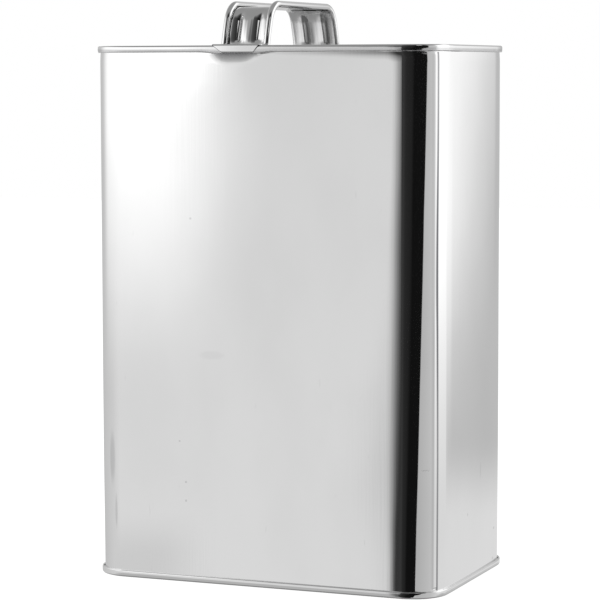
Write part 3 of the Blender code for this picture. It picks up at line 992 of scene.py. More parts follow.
@dataclass(frozen=True)
class StrapHandle:
    """The strap handle: tabs over the seam, feet on the panel, rolled edges and pressed-in ribs."""

    can: CanSizes
    width: float = 22.9 * MM
    sheet: float = 0.4 * MM
    rise: float = 19.88 * MM
    span: float = 87.8 * MM
    lean: float = 17.5
    lean_low: float = 13.5
    lean_high: float = 21.5
    shoulder: float = 9.4 * MM
    foot_bend: float = 1.6 * MM
    panel_top: float = 236.3 * MM
    tab_bend: float = 0.75 * MM
    tab_hook: float = 1.1 * MM
    tab_hook_bend: float = 0.8 * MM
    tab_tip: float = 14.6 * MM
    tab_taper: float = 40.0
    tab_tip_left: float = 10.8 * MM
    tab_taper_left: float = 57.0
    roll_radius: float = 1.3 * MM
    roll_turn: float = 290.0
    rib_spacing: float = 9.75 * MM
    rib_width: float = 7.0 * MM
    rib_depth: float = 1.1 * MM
    rib_foot: float = 0.5 * MM
    rib_top: float = 16.7 * MM
    rib_fade: float = 2.4 * MM
    rib_run_out: float = 4.0 * MM
    rib_valley: float = 0.12
    land_crown: float = 0.07 * MM
    edge_crown: float = 0.4
    least_roll: float = 0.02
    tab_bend_reach: float = 1.1 * MM
    # Painted shadow: past this distance along the blank, the tabs' left curl is painted dark as the gap's
    # shadow
    gap_shadow_edge: float = -14.7 * MM
    fold_steps: int = 8
    shoulder_steps: int = 20
    roll_steps: int = 20
    leg_row: float = 0.4 * MM
    top_row: float = 2.0 * MM
    land_steps: int = 8
    rib_steps: int = 26

    def run(self) -> list[tuple[float, float, float]]:
        """Works out half of the strap's run from its front tab's tip to the middle of its top.

        Returns:
            (distance out from the can's middle, height, length so far) of each station.
        """
        can = self.can
        half_depth = can.depth / 2
        middle = self.sheet / 2
        outside = half_depth + can.seaming_wall + can.sheet / 2 + can.gap + middle
        inside = half_depth + can.chuck_wall - can.sheet / 2 - can.gap - middle
        under_seam = can.height - can.seam_height - can.gap - middle
        over_seam = can.height + can.gap + middle
        on_panel = self.panel_top + can.gap + middle
        crest = 2 * self.roll_radius + middle
        top = can.height + self.rise - crest
        slope = math.tan(math.radians(self.lean_low))
        steepest = math.tan(math.radians(self.lean_high))
        leg_at_rim = self.span / 2 - crest / math.cos(math.radians(self.lean))
        leg_end = top - can.height - self.shoulder * (1 - math.sin(math.radians(self.lean_high)))

        def leg(height: float) -> tuple[float, float]:
            """Returns: the leg's point at a height, which leans further in towards the shoulder."""
            bent = min(max(height - can.height, 0.0), leg_end)
            inwards = (steepest - slope) * bent * (bent / (2 * leg_end) - 1)
            straight = steepest if height > can.height else slope
            return leg_at_rim - (height - can.height) * straight - inwards, height

        below = leg(can.height + leg_end)
        shoulder = arc_corner(below, leg(top), (0.0, top), self.shoulder, self.shoulder_steps)
        levels = spaced(on_panel + 2 * self.foot_bend, shoulder[0][1], self.leg_row)
        tab_levels = spaced(under_seam + self.tab_bend_reach, over_seam - self.tab_bend_reach, self.leg_row)
        corners = [
            (outside - self.tab_hook, under_seam, 0),
            (outside, under_seam, self.tab_hook_bend),
            *[(outside, level, 0) for level in tab_levels],
            (outside, over_seam, self.tab_bend),
            (inside, over_seam, self.tab_bend),
            (inside, on_panel, self.tab_bend),
            (*leg(on_panel), self.foot_bend),
            *[(*leg(level), 0) for level in levels[:-1]],
            (*shoulder[0], 0),
        ]
        path = rounded_path(corners, self.fold_steps) + shoulder[1:]
        path += [(reach, top) for reach in spaced(shoulder[-1][0], 0.0, self.top_row)[1:]]
        length = 0.0
        run = [(*path[0], length)]
        for before, here in zip(path, path[1:]):
            length += math.dist(before, here)
            run.append((*here, length))
        return run

    def blank(self) -> list[float]:
        """Returns: half the strap's blank from its middle to its edge, as distances along the sheet."""
        centre, half_rib = self.rib_spacing / 2, self.rib_width / 2
        flat_edge = self.width / 2 - self.roll_radius
        roll = self.roll_radius * math.radians(self.roll_turn)
        inner = spaced(0.0, centre - half_rib, (centre - half_rib) / self.land_steps)
        rib = spaced(centre - half_rib, centre + half_rib, self.rib_width / self.rib_steps)
        outer = spaced(centre + half_rib, flat_edge, (flat_edge - centre - half_rib) / self.land_steps)
        curl = spaced(flat_edge, flat_edge + roll, roll / self.roll_steps)
        return inner + rib[1:] + outer[1:] + curl[1:]

    def cross(self, along: float, rolled: float, ribbed: float) -> tuple[float, float]:
        """Works out where a point of the blank goes.

        Args:
            along: Its distance from the strap's middle along the sheet.
            rolled: How far the edge is rolled here, from 0 to 1.
            ribbed: How far the ribs are pressed in here, from 0 to 1.

        Returns:
            Its distance across the strap, and how far it stands out.
        """
        flat_edge = self.width / 2 - self.roll_radius
        if along > flat_edge:
            trim = 1 / math.radians(self.roll_turn)
            beyond = (along - flat_edge) * (trim + rolled * (1 - trim))
            if rolled < self.least_roll:
                return flat_edge + beyond, 0.0
            radius = self.roll_radius / rolled
            turn = beyond / radius
            return flat_edge + radius * math.sin(turn), radius * (1 - math.cos(turn))
        centre, half_rib = self.rib_spacing / 2, self.rib_width / 2
        from_rib = (along - centre) / half_rib
        if abs(from_rib) < 1:
            valley = self.rib_valley
            from_rib = (math.hypot(from_rib, valley) - valley) / (math.hypot(1.0, valley) - valley)
            return along, -ribbed * self.rib_depth * (1 - from_rib) ** 2
        if along < centre:
            crown = 1 - (along / (centre - half_rib)) ** 2
        else:
            share = (along - centre - half_rib) / (flat_edge - centre - half_rib)
            crown = 4 * share * (1 - share) * self.edge_crown
        return along, ribbed * self.land_crown * crown

    def build(self) -> bpy.types.Object:
        """Draws the blank across the tab's tip and extrudes it along its run.

        Returns:
            The piece.
        """
        can = self.can
        run = self.run()
        half = self.blank()
        section = [-along for along in reversed(half)] + half[1:]
        foot_reach = self.span / 2 + self.foot_bend
        rib_low = can.height + self.rib_foot
        rib_high = can.height + self.rib_top

        def spot(along: float, station: int) -> Vector:
            """Returns: where a point of the blank goes at a station of the run."""
            reach, height, length = run[station]
            before = run[max(station - 1, 0)]
            after = run[min(station + 1, len(run) - 1)]
            heading = Vector((after[0] - before[0], after[1] - before[1])).normalized()
            if station == len(run) - 1:
                heading = Vector((-1.0, 0.0))
            on_leg = reach < foot_reach
            rolled = ramp(height, self.panel_top + self.foot_bend, can.height) if on_leg else 0.0
            rise = ramp(height, rib_low, rib_low + self.rib_fade)
            fall = ramp(height, rib_high - self.rib_run_out, rib_high)
            ribbed = rise - fall if on_leg else 0.0
            tip = self.tab_tip_left if along < 0 else self.tab_tip
            slope = math.tan(math.radians(self.tab_taper_left if along < 0 else self.tab_taper))
            narrowing = min(1.0, (tip + 2 * length * slope) / self.width)
            across, out = self.cross(abs(along), rolled, ribbed)
            across = math.copysign(across, along) * narrowing
            return Vector((can.handle_x + across, -(reach + heading.y * out), height - heading.x * out))

        strap = Sheet()
        order = strap.mesh.verts.layers.int.new("order")
        dull = strap.mesh.verts.layers.float.new("dull")
        points = []
        for index, along in enumerate(section):
            point = strap.mesh.verts.new(spot(along, 0))
            point[order] = index
            points.append(point)
        chain = [strap.mesh.edges.new(pair) for pair in zip(points, points[1:])]
        for station in range(1, len(run)):
            chain, points = strap.extrude(chain)
            on_tab = run[station][1] < can.height
            for point in points:
                along = section[point[order]]
                point.co = spot(along, station)
                # Painted shadow of the gap along each tab's left edge
                point[dull] = 1.0 if on_tab and along < self.gap_shadow_edge else 0.0
        return strap.finish("strap_handle", self.sheet, mirror_y=True)


class Value:
    """A number in a shader, so that an expression on it adds its Math nodes."""

    def __init__(self, tree: ShaderTree, socket: Socket) -> None:
        """Args: tree: The shader it belongs to. socket: The output that carries it."""
        self.tree = tree
        self.socket = socket

    def _math(self, operation: str, first: Value | float, second: Value | float) -> Value:
        """Returns: the result of one Math node."""
        node = self.tree.node("ShaderNodeMath", {"operation": operation}, {0: first, 1: second})
        return Value(self.tree, node.outputs[0])

    def __add__(self, other: Value | float) -> Value:
        """Returns: the sum."""
        return self._math("ADD", self, other)

    def __sub__(self, other: Value | float) -> Value:
        """Returns: the difference."""
        return self._math("SUBTRACT", self, other)

    def __rsub__(self, other: float) -> Value:
        """Returns: the difference the other way round."""
        return self._math("SUBTRACT", other, self)

    def __mul__(self, other: Value | float) -> Value:
        """Returns: the product."""
        return self._math("MULTIPLY", self, other)

    def between(self, low: float, high: float) -> Value:
        """Returns: a smooth step from 0 at low to 1 at high."""
        inputs = {"Value": self, "From Min": low, "From Max": high}
        node = self.tree.node("ShaderNodeMapRange", {"interpolation_type": "SMOOTHSTEP"}, inputs)
        return Value(self.tree, node.outputs["Result"])


class ShaderTree:
    """The nodes of a material or of the world while they are made."""

    def __init__(self, owner: bpy.types.Material | bpy.types.World) -> None:
        """Args: owner: The material or world, whose nodes are cleared."""
        owner.use_nodes = True
        self.owner = owner
        self.tree = owner.node_tree
        self.tree.nodes.clear()

    def node(self, kind: str, settings: dict[str, object], inputs: dict[str | int, object]) -> bpy.types.Node:
        """Adds one node.

        Args:
            kind: The node's type.
            settings: Its properties, which are set first.
            inputs: The values or links of its sockets.

        Returns:
            The node.
        """
        made = self.tree.nodes.new(kind)
        for name, value in settings.items():
            setattr(made, name, value)
        for key, value in inputs.items():
            source = value.socket if isinstance(value, Value) else value
            if isinstance(source, Socket):
                self.tree.links.new(source, made.inputs[key])
            else:
                made.inputs[key].default_value = source
        return made

    def spot(self) -> Socket:
        """Returns: Object coordinates."""
        return self.node("ShaderNodeTexCoord", {}, {}).outputs["Object"]

    def places(self, scale: Sequence[float], shift: Sequence[float] = (0.0, 0.0, 0.0)) -> Socket:
        """Returns: Object coordinates, scaled by this much on each axis and then shifted."""
        inputs = {"Vector": self.spot(), "Location": tuple(shift), "Scale": tuple(scale)}
        return self.node("ShaderNodeMapping", {}, inputs).outputs["Vector"]

    def noise(self, scale: Sequence[float], detail: float = 2.0) -> Value:
        """Returns: noise on Object coordinates, with this many cells a metre on each axis."""
        inputs = {"Vector": self.places(scale), "Scale": 1.0, "Detail": detail}
        node = self.node("ShaderNodeTexNoise", {"noise_dimensions": "3D"}, inputs)
        return Value(self, node.outputs[0])

    def attribute(self, name: str) -> Value:
        """Returns: a number that the mesh keeps at its points."""
        return Value(self, self.node("ShaderNodeAttribute", {"attribute_name": name}, {}).outputs["Fac"])

    def blend(self, share: Value, first: Triple | Socket, second: Triple) -> Socket:
        """Returns: a colour that goes from the first to the second with the share."""
        start = first if isinstance(first, Socket) else (*first, 1.0)
        inputs = {0: share, 6: start, 7: (*second, 1.0)}
        return self.node("ShaderNodeMix", {"data_type": "RGBA"}, inputs).outputs[2]

    def bump(self, height: Value, strength: float, distance: float) -> Socket:
        """Returns: a normal that follows a height."""
        inputs = {"Strength": strength, "Distance": distance, "Height": height}
        return self.node("ShaderNodeBump", {}, inputs).outputs["Normal"]

    def glow(self, colour: Sequence[float] | Socket, strength: float) -> Socket:
        """Returns: a shader that glows in a colour."""
        return self.node("ShaderNodeEmission", {}, {"Color": colour, "Strength": strength}).outputs[0]

    def ramp(self, share: Value, stops: Iterable[tuple[float, float]]) -> Socket:
        """Makes a grey ramp.

        Args:
            share: What the ramp goes by.
            stops: Its (position, level) pairs.

        Returns:
            The grey, as a colour.
        """
        wheel = self.node("ShaderNodeValToRGB", {}, {"Fac": share})
        elements = wheel.color_ramp.elements
        while len(elements) > 1:
            elements.remove(elements[-1])
        for index, (position, level) in enumerate(stops):
            stop = elements[0] if index == 0 else elements.new(position)
            stop.position = position
            stop.color = (level, level, level, 1.0)
        return wheel.outputs["Color"]

    def surface(self, shader: Socket, output: str = "ShaderNodeOutputMaterial") -> bpy.types.ID:
        """Gives a shader to the output.

        Args:
            shader: The shader.
            output: The output node's type.

        Returns:
            The finished material or world.
        """
        self.node(output, {}, {"Surface": shader})
        return self.owner

    def principled(self, inputs: dict[str | int, object]) -> bpy.types.Material:
        """Returns: the finished material, whose one Principled shader has these inputs."""
        return self.surface(self.node("ShaderNodeBsdfPrincipled", {}, inputs).outputs["BSDF"])


@dataclass(frozen=True)
class Mark:
    """A smudge or fine scratch: a soft patch, darker or rougher than the rest, in millimetres."""

    spot: Triple
    reach: Triple
    stain_and_shade: float = 0.0
    scuff: float = 0.0

    FULL = 0.6

    def shown(self, tree: ShaderTree) -> Value:
        """Returns: how strongly the mark shows, from 1 about its middle to 0 outside it."""
        scale = [1 / (reach * MM) for reach in self.reach]
        shift = [-place * MM * share for place, share in zip(self.spot, scale)]
        kind = {"gradient_type": "SPHERICAL"}
        ball = tree.node("ShaderNodeTexGradient", kind, {"Vector": tree.places(scale, shift)})
        return Value(tree, ball.outputs["Fac"]).between(0.0, self.FULL)


MARKS = (
    Mark((-73.0, -50.0, 54.5), (2.2, 4.0, 15.0), stain_and_shade=0.22),
    Mark((-71.0, -51.0, 30.0), (0.9, 4.0, 10.0), stain_and_shade=0.22),
    Mark((-22.5, -52.0, 103.5), (8.0, 4.0, 2.6), stain_and_shade=0.06),
    Mark((-35.5, -52.0, 45.5), (0.7, 4.0, 0.7), stain_and_shade=0.25),
    Mark((-35.5, -52.0, 37.0), (0.6, 4.0, 0.8), stain_and_shade=0.25),
    Mark((-38.5, -52.0, 64.0), (0.7, 4.0, 0.6), stain_and_shade=0.2),
    Mark((-32.5, -52.0, 164.5), (0.8, 4.0, 0.7), stain_and_shade=0.2),
    Mark((83.5, 10.5, 48.5), (4.0, 1.2, 5.0), stain_and_shade=0.12),
    Mark((83.5, -7.5, 31.0), (4.0, 1.0, 1.0), stain_and_shade=0.2),
    Mark((83.0, 31.5, 18.5), (4.0, 1.6, 0.9), stain_and_shade=0.2),
    Mark((83.0, 30.0, 4.5), (4.0, 1.4, 1.0), stain_and_shade=0.2),
    Mark((77.7, -47.4, 56.6), (3.0, 3.0, 0.5), scuff=0.4),
    Mark((76.7, -48.1, 237.3), (1.6, 3.0, 0.4), scuff=0.3),
)


# The levels of a noise between which one colour gives way to the other
HALF_AND_HALF = (0.3, 0.7)


@dataclass(frozen=True)
class TinplateFinish:
    """Bright tin-coated steel: rolled grain, faint mottle, handling scuffs, a dull weld and smudges, with
    painted shade about the seams and the handle's tabs.
    """

    name: str = "bright_tinplate_finish"
    bright: Triple = (0.90, 0.90, 0.90)
    dull: Triple = (0.80, 0.80, 0.80)
    # The dark colour of the weld's scorch and the smudges, which also paints shade about the seams and the
    # handle's tabs
    scorch_stain_and_shade: Triple = (0.17, 0.17, 0.18)
    roughness: float = 0.035
    mottle_cells: Triple = (26.0, 26.0, 14.0)
    mottle_band: tuple[float, float] = (0.35, 0.75)
    mottle_dulls: float = 0.35
    mottle_roughens: float = 0.0165
    scuff_cells: Triple = (420.0, 420.0, 90.0)
    scuff_band: tuple[float, float] = (0.70, 0.78)
    scuff_dulls: float = 0.5
    scuff_roughens: float = 0.05
    scorch_stain_and_shade_band: tuple[float, float] = (0.15, 0.9)
    scorch_stain_and_shade_roughness: float = 0.3
    worn_roughness: float = 0.26
    grain_cells: Triple = (900.0, 900.0, 20.0)
    grain: float = 0.003

    def build(self) -> bpy.types.Material:
        """Returns: the material."""
        tree = ShaderTree(bpy.data.materials.new(self.name))
        mottle = tree.noise(self.mottle_cells, detail=3.0).between(*self.mottle_band)
        scuffs = tree.noise(self.scuff_cells, detail=4.0).between(*self.scuff_band)
        handled = tree.blend(mottle * self.mottle_dulls + scuffs * self.scuff_dulls, self.bright, self.dull)
        rough = mottle * self.mottle_roughens + self.roughness
        rough = rough + scuffs * self.scuff_roughens + tree.attribute("worn") * self.worn_roughness
        # The dull attribute holds the weld's scorch and the painted shade about the seams and the handle's
        # tabs
        scorch_stain_and_shade = tree.attribute("dull").between(*self.scorch_stain_and_shade_band)
        for mark in MARKS:
            shown = mark.shown(tree)
            if mark.stain_and_shade:
                scorch_stain_and_shade = scorch_stain_and_shade + shown * mark.stain_and_shade
            if mark.scuff:
                rough = rough + shown * mark.scuff
        return tree.principled({
            "Base Color": tree.blend(scorch_stain_and_shade, handled, self.scorch_stain_and_shade),
            "Metallic": 1.0,
            "Roughness": rough + scorch_stain_and_shade * (self.scorch_stain_and_shade_roughness - self.roughness),
            "Normal": tree.bump(tree.noise(self.grain_cells), self.grain, 1.0 * MM),
        })


@dataclass(frozen=True)
class CutEdgeFinish:
    """The sheared edge of the sheet: bare steel, rough and finely torn."""

    name: str = "cut_edge_finish"
    light: Triple = (0.86, 0.86, 0.86)
    dark: Triple = (0.70, 0.70, 0.70)
    roughness: float = 0.42
    tears_roughen: float = 0.2
    tears: float = 1500.0

    def build(self) -> bpy.types.Material:
        """Returns: the material."""
        tree = ShaderTree(bpy.data.materials.new(self.name))
        tears = tree.noise((self.tears,) * 3)
        return tree.principled({
            "Base Color": tree.blend(tears.between(*HALF_AND_HALF), self.light, self.dark),
            "Metallic": 1.0,
            "Roughness": tears * self.tears_roughen + self.roughness,
        })


@dataclass(frozen=True)
class SoftFinish:
    """A dull sealing material with a fine uneven surface."""

    name: str
    light: Triple
    dark: Triple
    roughness: float
    cells: float
    cells_roughen: float = 0.15
    bump: float = 0.3

    def build(self) -> bpy.types.Material:
        """Returns: the material."""
        tree = ShaderTree(bpy.data.materials.new(self.name))
        cells = tree.noise((self.cells,) * 3, detail=4.0)
        return tree.principled({
            "Base Color": tree.blend(cells.between(*HALF_AND_HALF), self.light, self.dark),
            "Roughness": cells * self.cells_roughen + self.roughness,
            "Normal": tree.bump(cells, self.bump, 0.2 * MM),
        })


def hide_from_all_but_metal(thing: bpy.types.Object) -> None:
    """Args: thing: A card or the dome, which then lights nothing and shows only in reflections."""
    thing.visible_camera = False
    thing.visible_diffuse = False
    thing.visible_shadow = False
    thing.visible_transmission = False


def upright(azimuth: float) -> Pairs:
    """Returns: a card's side that stands upright."""
    return ((0.0, azimuth),)


@dataclass(frozen=True)
class Card:
    """A bent reflector card that stands round the can and shows only in its metal.

    Its sides are (height, azimuth in degrees from -Y towards +X) points, its stops are (share
    across, brightness) points, and its soft edges are shares of its width and height. Where an
    inner side is given, the soft edge runs from the side to that.
    """

    name: str
    low: float
    high: float
    left: Pairs
    right: Pairs
    stops: Pairs
    radius: float = 0.80
    soft_left: float = 0.02
    soft_right: float = 0.02
    soft_low: float = 0.02
    soft_high: float = 0.02
    left_inner: Pairs = ()
    right_inner: Pairs = ()

    STEPS = 48
    TURN = math.pi / 2

    def build(self) -> bpy.types.Object:
        """Spins an upright edge into the card, and lays it between its sides.

        Returns:
            The card, which only metal shows.
        """
        mesh = bmesh.new()
        across = mesh.verts.layers.float.new("across")
        up = mesh.verts.layers.float.new("up")
        levels = spaced(self.low, self.high, (self.high - self.low) / self.STEPS)
        spin_profile(mesh, [(self.radius, level) for level in levels], 0.0, self.STEPS, self.TURN)
        for point in mesh.verts:
            point[across] = share_of(math.atan2(point.co.y, point.co.x), 0.0, self.TURN)
            point[up] = share_of(point.co.z, self.low, self.high)
            place = math.radians(value_at(self.sides(point.co.z), point[across]))
            point.co.x, point.co.y = self.radius * math.sin(place), -self.radius * math.cos(place)
        card = as_object(self.name, mesh)
        card.data.materials.append(self.paint())
        hide_from_all_but_metal(card)
        return card

    def sides(self, level: float) -> list[tuple[float, float]]:
        """Returns: the (share across, azimuth) points that the card runs through at a height."""
        points = [(0.0, value_at(self.left, level)), (1.0, value_at(self.right, level))]
        if self.left_inner:
            points.insert(1, (self.soft_left, value_at(self.left_inner, level)))
        if self.right_inner:
            points.insert(-1, (1 - self.soft_right, value_at(self.right_inner, level)))
        return points

    def paint(self) -> bpy.types.Material:
        """Returns: a glowing material with soft edges."""
        tree = ShaderTree(bpy.data.materials.new(self.name))
        across = tree.attribute("across")
        up = tree.attribute("up")
        glow = tree.glow(tree.ramp(across, self.stops), 1.0)
        clear = tree.node("ShaderNodeBsdfTransparent", {}, {}).outputs[0]
        shown = across.between(0.0, self.soft_left) * (1 - across).between(0.0, self.soft_right)
        shown = shown * up.between(0.0, self.soft_low) * (1 - up).between(0.0, self.soft_high)
        return tree.surface(tree.node("ShaderNodeMixShader", {}, {0: shown, 1: clear, 2: glow}).outputs[0])


@dataclass(frozen=True)
class Studio:
    """The white floor, the reflector cards, the soft lamps and the camera."""

    floor_size: float = 6.0
    floor_grey: float = 0.3
    floor_glow: float = 0.85
    lens: float = 152.06
    sensor: float = 36.0
    yaw: float = 22.263
    pitch: float = 5.151
    roll: float = -0.129
    distance: float = 1.1701
    aim_right: float = -0.90 * MM
    aim_up: float = 3.99 * MM
    aim_height: float = 120.65 * MM
    room_level: float = 0.8
    dome_radius: float = 3.0
    sky: Pairs = (
        (-60.0, 0.22), (-45.0, 0.30), (-37.0, 0.42), (-28.0, 0.46), (-18.0, 0.49), (-15.0, 0.62),
        (-14.0, 0.76), (-9.5, 0.76), (-5.0, 0.735), (4.0, 0.72), (16.0, 0.74), (25.0, 0.58),
        (33.0, 0.37), (60.0, 0.30),
    )

    WHITE = (1.0, 1.0, 1.0, 1.0)
    DOME_STEPS = 64

    def build(self) -> None:
        """Sets up the whole studio."""
        self.floor()
        self.world()
        self.dome()
        for card in self.cards():
            card.build()
        self.lamps()
        self.camera()
        bpy.context.scene.view_settings.view_transform = "Standard"

    def floor(self) -> None:
        """Lays the white floor, which metal doesn't show and which keeps a faint shadow."""
        mesh = bmesh.new()
        bmesh.ops.create_grid(mesh, x_segments=1, y_segments=1, size=self.floor_size / 2)
        floor = as_object("studio_floor", mesh)
        floor.visible_glossy = False
        tree = ShaderTree(bpy.data.materials.new("studio_floor"))
        paper = tree.node("ShaderNodeBsdfDiffuse", {}, {"Color": (*(self.floor_grey,) * 3, 1.0)}).outputs[0]
        glow = tree.glow(self.WHITE, self.floor_glow)
        both = tree.node("ShaderNodeAddShader", {}, {0: paper, 1: glow}).outputs[0]
        floor.data.materials.append(tree.surface(both))

    def world(self) -> None:
        """Makes the room: white to the camera, light grey in the metal."""
        tree = ShaderTree(bpy.data.worlds.new("studio_room"))
        grey = (*(self.room_level,) * 3, 1.0)
        by_camera = tree.node("ShaderNodeLightPath", {}, {}).outputs["Is Camera Ray"]
        room = tree.node("ShaderNodeBackground", {}, {"Color": grey, "Strength": 1.0}).outputs[0]
        seen = tree.node("ShaderNodeBackground", {}, {"Color": self.WHITE, "Strength": 1.0}).outputs[0]
        mixed = tree.node("ShaderNodeMixShader", {}, {0: by_camera, 1: room, 2: seen}).outputs[0]
        bpy.context.scene.world = tree.surface(mixed, "ShaderNodeOutputWorld")

    def dome(self) -> None:
        """Puts a wide dome round it all, which only metal shows: bright walls, grey above and below."""
        mesh = bmesh.new()
        steps = self.DOME_STEPS
        bmesh.ops.create_uvsphere(mesh, u_segments=steps, v_segments=steps, radius=self.dome_radius)
        bmesh.ops.translate(mesh, vec=(0.0, 0.0, self.aim_height), verts=mesh.verts)
        dome = as_object("studio_dome", mesh)
        dome.data.shade_smooth()
        tree = ShaderTree(bpy.data.materials.new("studio_dome"))
        height = Value(tree, tree.node("ShaderNodeSeparateXYZ", {}, {"Vector": tree.spot()}).outputs["Z"])
        share = (height - self.aim_height) * (0.5 / self.dome_radius) + 0.5
        stops = [((math.sin(math.radians(angle)) + 1) / 2, level) for angle, level in self.sky]
        dome.data.materials.append(tree.surface(tree.glow(tree.ramp(share, stops), 1.0)))
        hide_from_all_but_metal(dome)

    def cards(self) -> list[Card]:
        """Returns: the cards, those that stand nearer the can first."""
        return [
            Card(
                "dark_card", -0.60, 0.50,
                left=((-0.60, -5.0), (-0.30, -15.5), (-0.14, -15.7), (-0.09, -17.4), (-0.01, -17.1),
                      (0.13, -14.2), (0.20, -12.6), (0.24, -12.4), (0.26, -14.0), (0.29, -18.0),
                      (0.31, -19.7), (0.34, -23.0), (0.36, -25.0), (0.5, -25.0)),
                left_inner=((-0.60, 5.0), (-0.30, -9.6), (-0.14, -9.9), (-0.09, -8.2), (-0.01, -6.7),
                            (0.13, -5.6), (0.20, -4.4), (0.24, -4.2), (0.29, -3.0), (0.31, -3.5),
                            (0.34, -8.0), (0.36, -10.0), (0.5, -10.0)),
                right=((-0.60, 18.0), (-0.30, 18.0), (0.24, 66.5), (0.50, 64.0)),
                stops=((0.0, 0.03), (0.15, 0.035), (0.20, 0.04), (0.26, 0.028), (0.30, 0.022),
                       (0.45, 0.016), (0.53, 0.006), (1.0, 0.006)),
                soft_left=0.15, soft_right=0.03, soft_low=0.1, soft_high=0.06,
            ),
            Card(
                "light_strip", 0.64, 0.96, upright(31.0), upright(50.0),
                stops=((0.0, 0.6), (0.3, 0.8), (1.0, 0.8)), radius=0.795,
                soft_left=0.12, soft_right=0.1, soft_low=0.12, soft_high=0.1,
            ),
            Card(
                "dark_flag", 0.42, 2.40, ((0.42, -24.0), (2.4, -26.0)), upright(75.0), radius=0.805,
                stops=((0.0, 0.30), (0.08, 0.12), (0.20, 0.07), (0.46, 0.04), (0.62, 0.008),
                       (0.85, 0.05), (1.0, 0.3)),
                soft_left=0.02, soft_right=0.1, soft_low=0.04, soft_high=0.6,
            ),
            Card(
                "left_softbox", -0.02, 0.95, upright(-108.0),
                right=((0.0, -21.0), (0.2, -21.0), (0.235, -22.3), (0.35, -21.0), (0.5, -22.0),
                       (0.75, -30.0), (0.95, -36.0)),
                right_inner=((0.0, -28.8), (0.2, -28.8), (0.235, -25.5), (0.35, -28.0), (0.5, -30.0),
                             (0.75, -38.0), (0.95, -44.0)),
                stops=((0.0, 1.0), (1.0, 1.3)), radius=0.81,
                soft_left=0.4, soft_right=0.09, soft_low=0.24, soft_high=0.4,
            ),
            Card(
                "back_softbox", -0.10, 1.10, upright(88.0),
                right=((-0.1, 157.5), (0.0, 158.0), (0.06, 159.6), (0.24, 162.3), (0.53, 168.0),
                       (0.81, 176.0), (1.1, 180.0)),
                stops=((0.0, 1.0), (0.2, 1.25), (0.7, 1.2), (0.85, 1.05), (1.0, 1.0)), radius=0.82,
                soft_left=0.1, soft_right=0.13, soft_low=0.21, soft_high=0.25,
            ),
            Card(
                "low_grey_card", -0.19, -0.105, upright(-66.0), upright(-24.0),
                stops=((0.0, 0.66), (1.0, 0.66)), radius=0.825,
                soft_left=0.2, soft_right=0.1, soft_low=0.05, soft_high=0.4,
            ),
            Card(
                "right_grey_card", -0.4, 0.75, upright(30.0), upright(104.0),
                stops=((0.0, 0.45), (0.6, 0.56), (1.0, 0.75)), radius=0.83,
                soft_left=0.05, soft_right=0.2, soft_high=0.3,
            ),
            Card(
                "back_grey_card", -0.12, 0.75, upright(142.0), upright(205.0),
                stops=((0.0, 0.55), (1.0, 0.5)), radius=0.84,
                soft_left=0.1, soft_right=0.2, soft_low=0.08, soft_high=0.3,
            ),
            Card(
                "left_grey_card", -0.4, 0.75, upright(-165.0), upright(-42.0),
                stops=((0.0, 0.5), (0.5, 0.6), (1.0, 0.7)), radius=0.85,
                soft_left=0.1, soft_right=0.2, soft_high=0.3,
            ),
        ]

    def lamps(self) -> None:
        """Hangs two large soft lamps."""
        for name, spot, size, power in (
            ("key_lamp", (-0.9, -1.2, 1.3), 0.9, 9.0),
            ("fill_lamp", (1.3, 0.6, 1.2), 0.9, 5.0),
        ):
            light = bpy.data.lights.new(name, "AREA")
            light.shape = "DISK"
            light.size = size
            light.energy = power
            lamp = bpy.data.objects.new(name, light)
            lamp.location = spot
            lamp.visible_glossy = False
            aim = Vector((0.0, 0.0, self.aim_height)) - Vector(spot)
            lamp.rotation_euler = aim.to_track_quat("-Z", "Y").to_euler()
            bpy.context.scene.collection.objects.link(lamp)

    def camera(self) -> None:
        """Stands the camera where the photograph's was."""
        yaw, pitch, roll = (math.radians(angle) for angle in (self.yaw, self.pitch, self.roll))
        back = Vector((math.sin(yaw) * math.cos(pitch), -math.cos(yaw) * math.cos(pitch), math.sin(pitch)))
        level = Vector((math.cos(yaw), math.sin(yaw), 0.0))
        rise = back.cross(level)
        right = math.cos(roll) * level + math.sin(roll) * rise
        up = math.cos(roll) * rise - math.sin(roll) * level
        spot = Vector((0.0, 0.0, self.aim_height)) + back * self.distance + level * self.aim_right
        spot += rise * self.aim_up
        data = bpy.data.cameras.new("camera")
        data.lens = self.lens
        data.sensor_width = self.sensor
        data.clip_start = 0.05
        data.clip_end = 20.0
        camera = bpy.data.objects.new("camera", data)
        turned = Matrix((right, up, back)).transposed().to_4x4()
        camera.matrix_world = Matrix.Translation(spot) @ turned
        bpy.context.scene.collection.objects.link(camera)
        bpy.context.scene.camera = camera


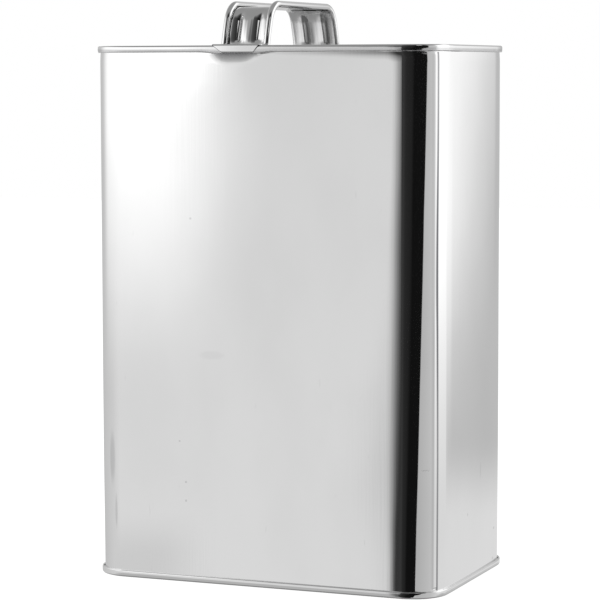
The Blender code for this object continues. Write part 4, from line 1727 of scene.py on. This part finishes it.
@dataclass(frozen=True)
class FStyleCan:
    """The whole can, dressed."""

    can: CanSizes = CanSizes()

    def dress(self, nodes: dict[str, bpy.types.Object]) -> None:
        """Builds each piece, gives it its finish and sets it on its body.

        Args:
            nodes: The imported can's nodes.
        """
        tinplate = TinplateFinish().build()
        cut_edge = CutEdgeFinish().build()
        thread = RolledThread()
        top = EndSizes(
            "top_end_tinplate",
            panel_depth=5.0 * MM,
            upside_down=False,
            crest=1.75 * MM,
            lower_wall_shade=0.42,
            stain_and_shade=1.0,
        )
        bottom = EndSizes(
            "bottom_end_tinplate",
            panel_depth=4.0 * MM,
            upside_down=True,
            crest=2.1 * MM,
            lower_wall_shade=0.0,
            stain_and_shade=0.0,
        )
        made = (
            (CanBody(self.can).build(), "body_shell", Body.CAN),
            (TopEnd(self.can, top).build(), "top_end", Body.CAN),
            (BottomEnd(self.can, bottom).build(), "bottom_end", Body.CAN),
            (StrapHandle(self.can).build(), "handle_strap", Body.CAN),
            (ScrewNeck(self.can, thread).build(), "screw_neck", Body.CAN),
            (ScrewCap(self.can, thread).build(), "screw_cap", Body.CAP),
        )
        for piece, node, body in made:
            piece.data.materials.clear()
            piece.data.materials.append(tinplate)
            piece.data.materials.append(cut_edge)
            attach(piece, body.value)
            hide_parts(node)
            LOG.info("%s stands for %s", piece.name, node)
        self.dress_seals(nodes)

    def dress_seals(self, nodes: dict[str, bpy.types.Object]) -> None:
        """Gives the seals, whose solids stay, their own finishes.

        Args:
            nodes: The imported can's nodes.
        """
        compound = SoftFinish(
            "seaming_compound_finish", (0.58, 0.45, 0.30), (0.48, 0.36, 0.24), roughness=0.55, cells=700.0
        )
        rubber = SoftFinish(
            "gasket_rubber_finish", (0.06, 0.06, 0.06), (0.03, 0.03, 0.03), roughness=0.5, cells=900.0
        )
        foam = SoftFinish(
            "liner_foam_finish", (0.90, 0.89, 0.85), (0.80, 0.79, 0.75), roughness=0.7, cells=1600.0
        )
        sealing = compound.build()
        finishes = {
            "top_seam_compound": sealing,
            "bottom_seam_compound": sealing,
            "neck_gasket": rubber.build(),
            "cap_liner": foam.build(),
        }
        for name, finish in finishes.items():
            data = nodes[name].data
            data.materials.clear()
            data.materials.append(finish)
            LOG.info("%s keeps its solid", name)


def main() -> None:
    """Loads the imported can, dresses it and sets the studio round it."""
    logging.basicConfig(level=logging.INFO, format="%(name)s: %(message)s")
    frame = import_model()
    FStyleCan().dress(frame["nodes"])
    Studio().build()


if __name__ == "__main__":
    main()
